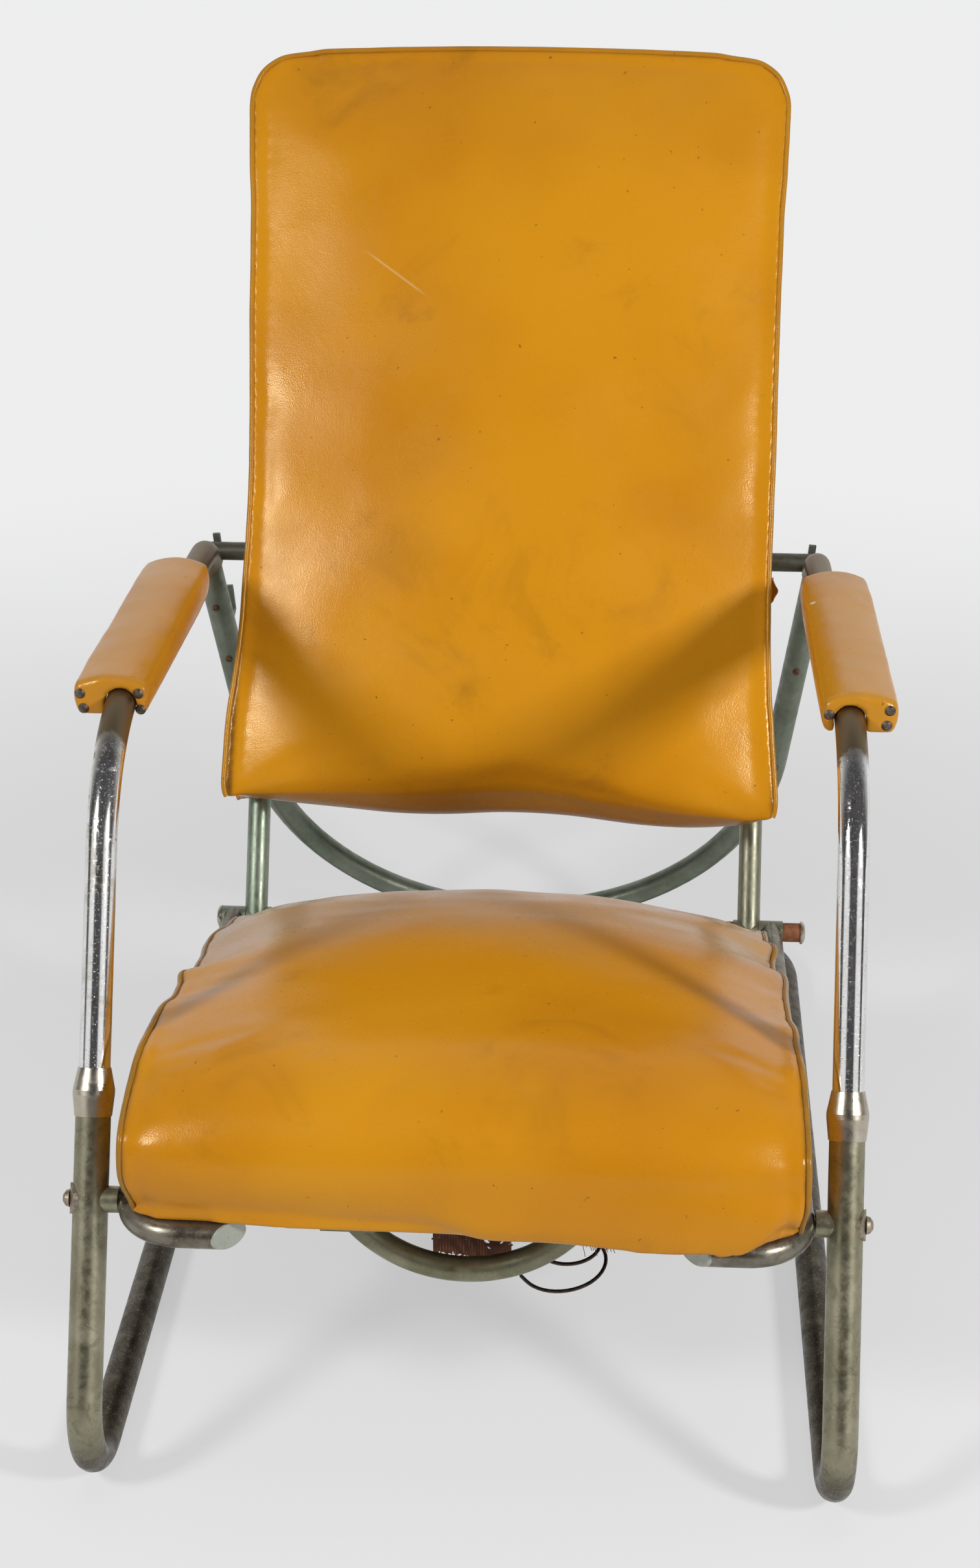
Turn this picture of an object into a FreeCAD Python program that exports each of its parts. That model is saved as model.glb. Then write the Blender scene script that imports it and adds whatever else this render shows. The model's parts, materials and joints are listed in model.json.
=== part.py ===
import FreeCAD, Part
import Sketcher
import math
import os
from FreeCAD import Placement, Rotation, Vector

os.makedirs("parts", exist_ok=True)
doc = FreeCAD.newDocument("TubularLoungeChair")

# Driving dimensions in millimetres, angles in degrees.
# While it is built, Y runs from the front bolts to the rear and Z up from the floor.
driving_sizes = {
    # bent steel tubes
    "side_spacing": 604.0,
    "base_tube_od": 28.6,
    "arm_tube_od": 25.4,
    "loop_tube_od": 25.4,
    "rail_tube_od": 22.2,
    "post_tube_od": 22.2,
    "bow_tube_od": 20.6,
    "bar_tube_od": 18.5,
    "tube_wall": 1.55,
    "slip_fit": 0.05,
    "seat_gap": 0.3,
    "worn_flat": 0.4,
    # side frame
    "pivot_height": 238.5,
    "upright_lean": 27.4,
    "floor_bend_radius": 56.0,
    "bar_behind_leg": 35.78,
    "rear_corner_radius": 90.0,
    "ferrule_height": 315.0,
    "ferrule_length": 39.0,
    "ferrule_ridge_od": 33.8,
    "ferrule_foot_od": 30.2,
    "ferrule_lip_od": 26.6,
    "tube_insertion": 45.0,
    "arm_corner_height": 577.0,
    "arm_bend_radius": 150.0,
    "arm_slope": 4.0,
    "arm_rear_radius": 40.0,
    "leg_lean": 19.6,
    "loop_inset": 22.0,
    "weld_drop": 32.0,
    # armrests
    "pad_front_y": 236.0,
    "pad_length": 328.0,
    "pad_width": 62.0,
    "pad_offset": 8.0,
    "pad_depth": 13.5,
    "pad_rise": 9.0,
    "pad_shoulder": 13.0,
    "pad_crown": 20.0,
    "board_end_gap": 14.0,
    "board_width": 46.0,
    "board_thickness": 12.0,
    "nail_head_od": 9.0,
    "nail_shank_od": 1.6,
    # front bolts
    "bolt_od": 8.0,
    "bolt_head_od": 15.0,
    "bolt_head_rise": 6.0,
    "saddle_od": 25.0,
    "saddle_thickness": 2.0,
    "spacer_od": 21.5,
    "nut_width": 13.0,
    "nut_thickness": 6.5,
    # seat frame
    "hinge_back": 531.0,
    "hinge_height": 205.0,
    "rail_side_gap": 35.0,
    "rail_front": 47.0,
    "rail_corner_radius": 45.0,
    "stub_end": 184.0,
    "end_cap_thickness": 1.6,
    "knuckle_length": 24.0,
    "knuckle_od": 22.2,
    "rod_od": 18.8,
    "rod_play": 17.5,
    "rod_cap_od": 22.7,
    "rod_cap_thickness": 5.0,
    "strip_width": 25.0,
    "strip_thickness": 3.0,
    "strip_back": 6.0,
    "bow_width": 232.0,
    "bow_ear_end": 8.5,
    "bow_flat": 38.0,
    "bow_drop": 54.0,
    "bow_span": 176.0,
    # springs under the seat
    "strap_drop": 88.0,
    "strap_width": 24.0,
    "strap_thickness": 2.5,
    "strap_first": 150.0,
    "strap_pitch": 205.0,
    "strap_flat": 420.0,
    "spring_wire": 3.2,
    "spring_end_od": 86.0,
    "spring_waist_od": 60.0,
    "spring_turns": 3.0,
    "spring_spacing": 150.0,
    "loose_spring_x": 87.0,
    "loose_spring_y": 66.0,
    "loose_spring_drop": 116.0,
    "jute_thickness": 1.6,
    # back frame
    "back_lean": 28.5,
    "post_side_gap": 21.5,
    "post_length": 805.0,
    "post_corner_radius": 75.0,
    "bar_along_post": 371.0,
    "bar_overhang": 10.0,
    "bar_plug_od": 12.0,
    "bar_plug_rise": 3.5,
    "band_width": 32.0,
    "band_thickness": 2.0,
    "band_first": 180.0,
    "band_pitch": 185.0,
    "rivet_od": 7.0,
    # notched strips behind the rear legs
    "rack_thickness": 7.0,
    "rack_web": 9.0,
    "notch_pitch": 70.0,
    "notch_clearance": 1.2,
    "tooth_lip": 5.0,
    "tooth_rise": 14.0,
    "screw_od": 5.0,
    "screw_head_od": 8.0,
    "screw_head_rise": 2.4,
    # cushions
    "seat_side_gap": 33.0,
    "seat_front": 54.0,
    "seat_rear": 500.0,
    "seat_thickness": 114.0,
    "seat_rear_thickness": 62.0,
    "seat_crown": 20.0,
    "seat_taper": 10.0,
    "back_side_gap": 37.0,
    "back_start": 108.0,
    "back_end": 850.0,
    "back_thickness": 104.0,
    "back_crown": 22.0,
    "back_corner_radius": 50.0,
    "back_waist": 7.0,
}

# Widths that follow the side frames, and the board that follows its pad
following_sizes = {
    "rail_spacing": "=side_spacing - 2 * rail_side_gap",
    "post_spacing": "=rail_spacing - 2 * post_side_gap",
    "seat_width": "=side_spacing - 2 * seat_side_gap",
    "back_width": "=side_spacing - 2 * back_side_gap",
    "bar_length": "=side_spacing + 2 * bar_overhang",
    "loop_radius": "=side_spacing / 2 - loop_inset",
    "board_length": "=pad_length - 2 * board_end_gap",
}

sheet = doc.addObject("Spreadsheet::Sheet", "Sizes")
all_sizes = {**driving_sizes, **following_sizes}
for row, (alias, value) in enumerate(all_sizes.items(), start=1):
    sheet.set("A%d" % row, alias.replace("_", " "))
    sheet.set("B%d" % row, str(value))
    sheet.setAlias("B%d" % row, alias)
doc.recompute()


def size(alias):
    return float(sheet.get(alias))


x_axis = Vector(1, 0, 0)
y_axis = Vector(0, 1, 0)
z_axis = Vector(0, 0, 1)
sides = {"left": -1, "right": 1}
subparts = []


def turned(axis, degrees):
    return Rotation(axis, degrees)


def register(label, piece, frame=Placement()):
    piece.Label = label
    piece.Placement = frame
    subparts.append(piece)
    return piece


def direction(degrees_from_up):
    # unit vector in the side view: 0 is straight up, 90 is straight back
    angle = math.radians(degrees_from_up)
    return Vector(0, math.sin(angle), math.cos(angle))


def crossing(point_a, along_a, point_b, along_b):
    # where two lines of the side view meet
    gap = point_b - point_a
    spread = along_a.y * along_b.z - along_a.z * along_b.y
    reach = (gap.y * along_b.z - gap.z * along_b.y) / spread
    return point_a + along_a * reach


def rounded_path(points, radii):
    # straight runs with a tangent arc at each corner
    edges = []
    start = points[0]
    for before, corner, after, radius in zip(points, points[1:], points[2:], radii):
        inward = (before - corner).normalize()
        outward = (after - corner).normalize()
        half = inward.getAngle(outward) / 2
        reach = radius / math.tan(half)
        middle = corner + (inward + outward).normalize() * (radius / math.sin(half) - radius)
        edges.append(Part.LineSegment(start, corner + inward * reach).toShape())
        edges.append(Part.Arc(corner + inward * reach, middle, corner + outward * reach).toShape())
        start = corner + outward * reach
    edges.append(Part.LineSegment(start, points[-1]).toShape())
    return Part.Wire(edges)


def swept_rod(name, path, radius_expression):
    line = doc.addObject("Part::Feature", name + "_line")
    line.Shape = path
    ring = doc.addObject("Part::Circle", name + "_ring")
    first = path.OrderedEdges[0]
    tangent = first.tangentAt(first.FirstParameter)
    ring.Placement = Placement(path.OrderedVertexes[0].Point, Rotation(z_axis, tangent))
    ring.setExpression("Radius", radius_expression)
    rod = doc.addObject("Part::Sweep", name)
    rod.Sections = [ring]
    rod.Spine = (line, ["Edge%d" % (i + 1) for i in range(len(path.Edges))])
    rod.Solid = True
    return rod


def cut(name, base, tool):
    piece = doc.addObject("Part::Cut", name)
    piece.Base = base
    piece.Tool = tool
    return piece


def fuse(name, shapes):
    piece = doc.addObject("Part::MultiFuse", name)
    piece.Shapes = shapes
    return piece


def tube(name, path, od_alias):
    outside = swept_rod(name + "_outside", path, "Sizes.%s / 2" % od_alias)
    inside = swept_rod(name + "_inside", path, "Sizes.%s / 2 - Sizes.tube_wall" % od_alias)
    return cut(name + "_hollow", outside, inside)


def cylinder(name, radius_expression, length, base, along):
    rod = doc.addObject("Part::Cylinder", name)
    rod.setExpression("Radius", radius_expression)
    rod.Height = length
    rod.Placement = Placement(base, Rotation(z_axis, along))
    return rod


def half_space(name, point, normal, reach=120.0):
    # a block whose one face lies on the plane, on the side that the normal points to
    block = doc.addObject("Part::Box", name)
    block.Length = reach
    block.Width = reach
    block.Height = reach
    turn = Rotation(z_axis, normal)
    block.Placement = Placement(point - turn.multVec(Vector(reach / 2, reach / 2, 0)), turn)
    return block


def plane_of(body, role):
    for feature in body.Origin.OriginFeatures:
        if feature.Role == role:
            return feature
    raise RuntimeError("no plane " + role)


def new_body(name):
    return doc.addObject("PartDesign::Body", name)


def new_sketch(body, name, role, shift=0.0):
    sketch = body.newObject("Sketcher::SketchObject", name)
    sketch.AttachmentSupport = [(plane_of(body, role), "")]
    sketch.MapMode = "FlatFace"
    sketch.AttachmentOffset = Placement(Vector(0, 0, shift), Rotation())
    return sketch


def outline(sketch, points):
    # closed outline of straight lines, joined at its corners
    first = sketch.GeometryCount
    for start, end in zip(points, points[1:] + points[:1]):
        sketch.addGeometry(Part.LineSegment(Vector(*start, 0), Vector(*end, 0)), False)
    count = len(points)
    for i in range(count):
        following = first + (i + 1) % count
        sketch.addConstraint(Sketcher.Constraint("Coincident", first + i, 2, following, 1))


def ring(sketch, radius_expression, start_radius, centre=(0.0, 0.0)):
    circle = Part.Circle(Vector(*centre, 0), z_axis, start_radius)
    index = sketch.addGeometry(circle, False)
    number = sketch.addConstraint(Sketcher.Constraint("Radius", index, start_radius))
    sketch.setExpression("Constraints[%d]" % number, radius_expression)


def pad(body, sketch, name, length_expression, middle=False, reverse=False):
    feature = body.newObject("PartDesign::Pad", name)
    feature.Profile = sketch
    feature.Midplane = middle
    feature.Reversed = reverse
    feature.setExpression("Length", length_expression)
    body.Tip = feature
    return feature


def pocket_through(body, sketch, name):
    feature = body.newObject("PartDesign::Pocket", name)
    feature.Profile = sketch
    feature.Type = 1
    feature.Midplane = True
    body.Tip = feature
    return feature


def revolved(name, points):
    # points are (radius, height) round the body's own Z axis
    body = new_body(name)
    sketch = new_sketch(body, name + "_profile", "XZ_Plane")
    outline(sketch, points)
    turn = body.newObject("PartDesign::Revolution", name + "_turn")
    turn.Profile = sketch
    turn.ReferenceAxis = (sketch, ["V_Axis"])
    turn.Angle = 360.0
    body.Tip = turn
    return body


def group(name, pieces):
    # identical fasteners share one node as separate solids
    holder = doc.addObject("Part::Compound", name)
    holder.Links = pieces
    return holder


def copy_of(name, source, frame):
    link = doc.addObject("Part::Feature", name)
    doc.recompute()
    shape = source.Shape.copy()
    shape.Placement = frame.multiply(source.Shape.Placement)
    link.Shape = shape
    return link


# Side view: the lines that the side frame follows

half_width = size("side_spacing") / 2
floor_line = size("base_tube_od") / 2 - size("worn_flat")
pivot = Vector(0, 0, size("pivot_height"))
upright = direction(size("upright_lean"))
backward = Vector(0, 1, 0)
floor_corner = crossing(pivot, upright, Vector(0, 0, floor_line), backward)
ferrule_point = pivot + upright * ((size("ferrule_height") - pivot.z) / upright.z)
arm_corner = pivot + upright * ((size("arm_corner_height") - pivot.z) / upright.z)
arm_direction = direction(90 + size("arm_slope"))
loop_height = size("base_tube_od") - size("worn_flat") + size("loop_tube_od") / 2
leg_up = direction(-size("leg_lean"))
leg_back = direction(90 - size("leg_lean"))
bar_frame = Placement(
    Vector(0, size("hinge_back"), size("hinge_height")), turned(x_axis, -size("back_lean"))
)
bar_offset = (size("post_tube_od") + size("bar_tube_od")) / 2
bar_centre = bar_frame.multVec(Vector(0, bar_offset, size("bar_along_post")))
bar_behind_leg = size("bar_behind_leg")
bar_rise = (bar_centre.z - loop_height) * leg_back.z
runner_reach = bar_centre.y - (bar_behind_leg - bar_rise) / leg_back.y
loop_bottom = Vector(0, runner_reach, loop_height)
rear_corner = crossing(arm_corner, arm_direction, loop_bottom, leg_up)
weld_point = rear_corner - leg_up * size("weld_drop")
weld_reach = (weld_point - loop_bottom).Length


def beside(point, side, offset=half_width):
    return Vector(side * offset, point.y, point.z)


# Base: one tube from the left upright, round the floor, to the right upright

base_top = ferrule_point
rear_floor = Vector(0, runner_reach, floor_line)
base_path = rounded_path(
    [
        beside(base_top, -1),
        beside(floor_corner, -1),
        beside(rear_floor, -1),
        beside(rear_floor, 1),
        beside(floor_corner, 1),
        beside(base_top, 1),
    ],
    [
        size("floor_bend_radius"),
        size("rear_corner_radius"),
        size("rear_corner_radius"),
        size("floor_bend_radius"),
    ],
)
base_tube = tube("base", base_path, "base_tube_od")
floor_block = half_space("floor_block", Vector(0, 400, 0), Vector(0, 0, -1), 2400.0)
bolt_holes = cylinder(
    "bolt_holes",
    "Sizes.bolt_od / 2 + Sizes.seat_gap",
    size("side_spacing") + 80,
    Vector(-half_width - 40, 0, pivot.z),
    x_axis,
)
base_tools = fuse("base_tools", [floor_block, bolt_holes])
register("base_tube", cut("base_tube", base_tube, base_tools))

# Rear loop: a leg tube down each side and round its bottom on the base

loop_turn = size("loop_radius")
climb = weld_reach - loop_turn
splay = math.acos(loop_turn / math.hypot(half_width, climb)) - math.atan2(climb, half_width)
splay_degrees = math.degrees(splay)
loop_frame = Placement(loop_bottom, turned(x_axis, 90 + size("leg_lean")))
overrun = 28.0


def leg_point(side, height):
    # on the axis of a rear leg, in the plane of the loop, measured up from its bottom
    reach = (loop_turn + (height - loop_turn) * math.sin(splay)) / math.cos(splay)
    return Vector(side * reach, height, 0)


def leg_axis(side):
    return Vector(side * math.sin(splay), math.cos(splay), 0)


def tangent_point(side):
    return Vector(side * loop_turn * math.cos(splay), loop_turn * (1 - math.sin(splay)), 0)


loop_path = Part.Wire(
    [
        Part.LineSegment(leg_point(-1, weld_reach + overrun), tangent_point(-1)).toShape(),
        Part.Arc(tangent_point(-1), Vector(0, 0, 0), tangent_point(1)).toShape(),
        Part.LineSegment(tangent_point(1), leg_point(1, weld_reach + overrun)).toShape(),
    ]
)
loop_tube = tube("loop", loop_path, "loop_tube_od")


def weld_plane(side):
    # the slanting cut where the leg meets the down-turned end of the arm
    return loop_frame.Rotation.multVec(Vector(side, 1, 0).normalize())


rack_start = (bar_centre - loop_bottom).dot(leg_up)
screw_drops = [size("notch_pitch") * (i + 0.5) for i in (0, 1, 3)]


def rack_frame(side):
    # X runs down the leg, Y back from it, with the origin on the leg's axis beside the bar
    down = loop_frame.Rotation.multVec(leg_axis(side)) * -1
    origin = loop_frame.multVec(leg_point(side, rack_start))
    return Placement(origin, Rotation(down, leg_back, down.cross(leg_back), "XYZ"))


loop_cutters = []
for side_name, side in sides.items():
    joint = loop_frame.multVec(leg_point(side, weld_reach))
    loop_cutters.append(half_space("weld_block_" + side_name, joint, weld_plane(side)))
    frame = rack_frame(side)
    for number, drop in enumerate(screw_drops):
        base = frame.multVec(Vector(drop, -size("loop_tube_od"), 0))
        hole = cylinder(
            "screw_hole_%s_%d" % (side_name, number),
            "Sizes.screw_od / 2 + Sizes.slip_fit",
            2 * size("loop_tube_od"),
            base,
            leg_back,
        )
        loop_cutters.append(hole)
loop_tube.Placement = loop_frame
loop_tools = fuse("loop_tools", loop_cutters)
register("rear_loop", cut("rear_loop", loop_tube, loop_tools))

# Arms: from inside the ferrule up the upright, along under the pad and down to the weld

for side_name, side in sides.items():
    joint = loop_frame.multVec(leg_point(side, weld_reach))
    path = rounded_path(
        [
            beside(ferrule_point - upright * size("tube_insertion"), side),
            beside(arm_corner, side),
            beside(rear_corner, side),
            beside(weld_point - leg_up * overrun, side),
        ],
        [size("arm_bend_radius"), size("arm_rear_radius")],
    )
    arm = tube("arm_" + side_name, path, "arm_tube_od")
    block = half_space("arm_end_block_" + side_name, joint, weld_plane(side) * -1)
    register("arm_tube_" + side_name, cut("arm_tube_" + side_name, arm, block))

# Ferrules: double-cone collars over the joint of base and arm tubes

ferrule_half = size("ferrule_length") / 2
base_bore = size("base_tube_od") / 2 + size("slip_fit")
arm_bore = size("arm_tube_od") / 2 + size("slip_fit")
ferrule_profile = [
    (base_bore, -ferrule_half),
    (size("ferrule_foot_od") / 2, -ferrule_half),
    (size("ferrule_ridge_od") / 2, -2.0),
    (size("ferrule_ridge_od") / 2, 2.0),
    (size("ferrule_lip_od") / 2, ferrule_half),
    (arm_bore, ferrule_half),
    (arm_bore, size("slip_fit")),
    (base_bore, size("slip_fit")),
]
for side_name, side in sides.items():
    frame = Placement(beside(ferrule_point, side), Rotation(z_axis, upright))
    register("ferrule_" + side_name, revolved("ferrule_" + side_name, ferrule_profile), frame)

# Notched strips: four hooked teeth on each, screwed on behind the rear leg

rack_foot = size("loop_tube_od") / 2 + size("slip_fit")
notch_radius = size("bar_tube_od") / 2 + size("notch_clearance")
lift = Vector(-math.cos(math.radians(size("leg_lean"))), math.sin(math.radians(size("leg_lean"))), 0)
aside = Vector(-lift.y, lift.x, 0) * -1
rack_length = 3 * size("notch_pitch") + 40


def rack_xy(rise, back):
    # a place near the bar, straight up and straight back from its centre, on the strip's plane
    point = Vector(0, bar_behind_leg, 0) + lift * rise + aside * back
    return (point.x, point.y)


for side_name, side in sides.items():
    body = new_body("rack_" + side_name)
    web = new_sketch(body, "web_" + side_name, "XY_Plane")
    web_edge = rack_foot + size("rack_web")
    outline(
        web,
        [
            (-12.0, rack_foot),
            (-12.0, web_edge - 3),
            (-6.0, web_edge),
            (rack_length, web_edge),
            (rack_length + 8, rack_foot),
        ],
    )
    pad(body, web, "web_pad_" + side_name, "Sizes.rack_thickness", middle=True)
    tooth = new_sketch(body, "tooth_" + side_name, "XY_Plane")
    seat_side = notch_radius + 1.0
    lip = seat_side + size("tooth_lip")
    outline(
        tooth,
        [
            rack_xy(-notch_radius, -notch_radius - 1.5),
            rack_xy(-notch_radius, seat_side),
            rack_xy(size("tooth_rise"), seat_side),
            rack_xy(size("tooth_rise"), lip - 1.2),
            rack_xy(size("tooth_rise") - 4, lip),
            rack_xy(-notch_radius - 3.0, lip - 0.5),
            rack_xy(-notch_radius - 6.5, 4.0),
            (40.0, web_edge - 2),
        ],
    )
    pad(body, tooth, "tooth_pad_" + side_name, "Sizes.rack_thickness", middle=True)
    row_of_teeth = body.newObject("PartDesign::LinearPattern", "teeth_" + side_name)
    row_of_teeth.Originals = [body.Tip]
    row_of_teeth.Direction = (web, ["H_Axis"])
    row_of_teeth.Occurrences = 4
    row_of_teeth.setExpression("Length", "3 * Sizes.notch_pitch")
    body.Tip = row_of_teeth
    holes = new_sketch(body, "tapped_" + side_name, "XZ_Plane")
    for drop in screw_drops:
        ring(holes, "Sizes.screw_od / 2 + Sizes.slip_fit", size("screw_od") / 2, (drop, 0.0))
    pocket_through(body, holes, "tapped_holes_" + side_name)
    register("notched_strip_" + side_name, body, rack_frame(side))

# Slotted round-head screws through the rear legs into the notched strips

head = size("screw_head_od") / 2
shank = size("screw_od") / 2
head_rise = size("screw_head_rise")
screw_end = size("loop_tube_od") + size("rack_web") - 1
master_screw = revolved(
    "screw_master",
    [
        (0.0, -head_rise),
        (head * 0.55, -head_rise),
        (head * 0.9, -head_rise * 0.6),
        (head, 0.0),
        (shank, 0.0),
        (shank, screw_end),
        (0.0, screw_end),
    ],
)
slot = doc.addObject("Part::Box", "screw_slot")
slot.Length = size("screw_head_od") + 2
slot.Width = 1.1
slot.Height = 2.0
slot.Placement = Placement(Vector(-head - 1, -0.55, -head_rise - 1), Rotation())
slotted = cut("slotted_screw", master_screw, slot)
screws = []
for side_name, side in sides.items():
    frame = rack_frame(side)
    for number, drop in enumerate(screw_drops):
        place = frame.multVec(Vector(drop, -size("loop_tube_od") / 2 - size("slip_fit"), 0))
        turn = Rotation(z_axis, leg_back).multiply(turned(z_axis, 35 * number + 20 * side))
        screws.append(copy_of("leg_screw_%s_%d" % (side_name, number), slotted, Placement(place, turn)))
register("leg_screws", group("leg_screws", screws))

# Front bolts, saddle washers, spacers and nuts: the axis the seat frame turns on

rail_outside = (size("rail_spacing") + size("rail_tube_od")) / 2
rail_inside = (size("rail_spacing") - size("rail_tube_od")) / 2
washer_face = half_width + size("base_tube_od") / 2 + size("slip_fit") + size("saddle_thickness")
bolt_radius = size("bolt_od") / 2
bolt_head = size("bolt_head_od") / 2
bolt_tip = washer_face - rail_inside + size("nut_thickness") + 3
bolt_profile = [
    (0.0, -size("bolt_head_rise")),
    (bolt_head * 0.45, -size("bolt_head_rise") * 0.92),
    (bolt_head * 0.85, -size("bolt_head_rise") * 0.55),
    (bolt_head, 0.0),
    (bolt_radius, 0.0),
    (bolt_radius, bolt_tip),
    (0.0, bolt_tip),
]
master_bolt = revolved("bolt_master", bolt_profile)
bolts = []
for side_name, side in sides.items():
    place = Vector(side * (washer_face + size("slip_fit")), 0, pivot.z)
    turn = Rotation(z_axis, x_axis * -side)
    bolts.append(copy_of("front_bolt_" + side_name, master_bolt, Placement(place, turn)))
register("front_bolts", group("front_bolts", bolts))

washers = []
for side_name, side in sides.items():
    centre = beside(pivot, side)
    shell_out = cylinder(
        "saddle_out_" + side_name,
        "Sizes.base_tube_od / 2 + Sizes.slip_fit + Sizes.saddle_thickness",
        80,
        centre - upright * 40,
        upright,
    )
    shell_in = cylinder(
        "saddle_in_" + side_name,
        "Sizes.base_tube_od / 2 + Sizes.slip_fit",
        100,
        centre - upright * 50,
        upright,
    )
    shell = cut("saddle_shell_" + side_name, shell_out, shell_in)
    disc = cylinder("saddle_disc_" + side_name, "Sizes.saddle_od / 2", 40, centre, x_axis * side)
    common = doc.addObject("Part::Common", "saddle_common_" + side_name)
    common.Base = shell
    common.Tool = disc
    bore = cylinder(
        "saddle_bore_" + side_name, "Sizes.bolt_od / 2 + Sizes.slip_fit", 60, centre, x_axis * side
    )
    washers.append(cut("saddle_washer_" + side_name, common, bore))
register("saddle_washers", group("saddle_washers", washers))

spacers = []
for side_name, side in sides.items():
    centre = beside(pivot, side)
    near = Vector(side * (rail_outside + size("seat_gap")), 0, pivot.z)
    length = half_width - rail_outside - size("seat_gap")
    body = cylinder("spacer_out_" + side_name, "Sizes.spacer_od / 2", length, near, x_axis * side)
    bore = cylinder(
        "spacer_bore_" + side_name,
        "Sizes.bolt_od / 2 + Sizes.slip_fit",
        length + 2,
        near - x_axis * side,
        x_axis * side,
    )
    cope = cylinder(
        "spacer_cope_" + side_name,
        "Sizes.base_tube_od / 2 + Sizes.slip_fit",
        80,
        centre - upright * 40,
        upright,
    )
    tools = fuse("spacer_tools_" + side_name, [bore, cope])
    spacers.append(cut("spacer_" + side_name, body, tools))
register("spacer_tubes", group("spacer_tubes", spacers))

nut_body = new_body("nut_master")
nut_sketch = new_sketch(nut_body, "nut_profile", "XY_Plane")
nut_corner = size("nut_width") / math.sqrt(3)
hexagon = [
    (nut_corner * math.cos(math.radians(60 * i)), nut_corner * math.sin(math.radians(60 * i)))
    for i in range(6)
]
outline(nut_sketch, hexagon)
ring(nut_sketch, "Sizes.bolt_od / 2 + Sizes.slip_fit", bolt_radius + size("slip_fit"))
pad(nut_body, nut_sketch, "nut_pad", "Sizes.nut_thickness")
nuts = []
for side_name, side in sides.items():
    place = Vector(side * (rail_inside - size("seat_gap")), 0, pivot.z)
    turn = Rotation(z_axis, x_axis * -side)
    nuts.append(copy_of("front_nut_" + side_name, nut_body, Placement(place, turn)))
register("front_nuts", group("front_nuts", nuts))

# Seat frame, drawn along its rails: Y runs back from the bolts, Z stands square to the rails

hinge = Vector(0, size("hinge_back"), size("hinge_height"))
seat_slope = math.degrees(math.atan2(pivot.z - hinge.z, hinge.y))
seat_frame = Placement(pivot, turned(x_axis, -seat_slope))
rail_length = (hinge - pivot).Length
rail_x = size("rail_spacing") / 2
rail_radius = size("rail_tube_od") / 2
post_x = size("post_spacing") / 2

for side_name, side in sides.items():
    stub = size("stub_end")
    corner = Vector(side * rail_x, -size("rail_front"), 0)
    path = rounded_path(
        [
            Vector(side * rail_x, rail_length, 0),
            corner,
            Vector(side * (stub - 30), -size("rail_front"), 0),
        ],
        [size("rail_corner_radius")],
    )
    rail = tube("rail_" + side_name, path, "rail_tube_od")
    cut_normal = Vector(-side, -1, 0).normalize()
    end_point = Vector(side * stub, -size("rail_front"), 0)
    tools = [
        half_space("stub_block_" + side_name, end_point, cut_normal, 90.0),
        cylinder(
            "rail_cope_" + side_name,
            "Sizes.knuckle_od / 2 + Sizes.slip_fit",
            60,
            Vector(side * rail_x - 30, rail_length, 0),
            x_axis,
        ),
        cylinder(
            "rail_bore_" + side_name,
            "Sizes.bolt_od / 2 + Sizes.slip_fit",
            60,
            Vector(side * rail_x - 30, 0, 0),
            x_axis,
        ),
    ]
    rail_tools = fuse("rail_tools_" + side_name, tools)
    register("seat_rail_" + side_name, cut("seat_rail_" + side_name, rail, rail_tools), seat_frame)

cap_pieces = []
for side_name, side in sides.items():
    cut_normal = Vector(-side, -1, 0).normalize()
    end_point = Vector(side * size("stub_end"), -size("rail_front"), 0)
    across = cylinder(
        "cap_stub_" + side_name,
        "Sizes.rail_tube_od / 2",
        90,
        end_point + x_axis * side * 40,
        x_axis * -side,
    )
    slab = half_space("cap_slab_" + side_name, end_point, cut_normal, 90.0)
    slab.setExpression("Height", "Sizes.end_cap_thickness")
    cap = doc.addObject("Part::Common", "rail_cap_" + side_name)
    cap.Base = across
    cap.Tool = slab
    cap_pieces.append(cap)
register("rail_end_caps", group("rail_end_caps", cap_pieces), seat_frame)


def knuckle(name, x_from, x_to):
    body = new_body(name)
    sketch = new_sketch(body, name + "_ring", "XY_Plane")
    ring(sketch, "Sizes.knuckle_od / 2", size("knuckle_od") / 2)
    ring(sketch, "Sizes.rod_od / 2 + Sizes.slip_fit", size("rod_od") / 2)
    feature = pad(body, sketch, name + "_pad", "Sizes.knuckle_length")
    feature.Length = x_to - x_from
    return body, Placement(Vector(x_from, 0, 0), Rotation(z_axis, x_axis))


seat_hinge_frame = seat_frame.multiply(Placement(Vector(0, rail_length, 0), Rotation()))
half_knuckle = size("knuckle_length") / 2
for side_name, side in sides.items():
    middle = side * rail_x
    body, local = knuckle("rail_knuckle_" + side_name, middle - half_knuckle, middle + half_knuckle)
    register("hinge_sleeve_" + side_name, body, seat_hinge_frame.multiply(local))

# Rod through both pairs of sleeves; it has slid to the right until its left cap touches

rod_left = -rail_x - half_knuckle - size("seat_gap")
rod_right = rail_x + half_knuckle + size("rod_play")
rod_body = new_body("rod_body")
rod_sketch = new_sketch(rod_body, "rod_ring", "XY_Plane")
ring(rod_sketch, "Sizes.rod_od / 2", size("rod_od") / 2)
rod_pad = pad(rod_body, rod_sketch, "rod_pad", "Sizes.rod_od")
rod_pad.setExpression("Length", None)
rod_pad.Length = rod_right - rod_left
register(
    "hinge_rod",
    rod_body,
    seat_hinge_frame.multiply(Placement(Vector(rod_left, 0, 0), Rotation(z_axis, x_axis))),
)

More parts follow.
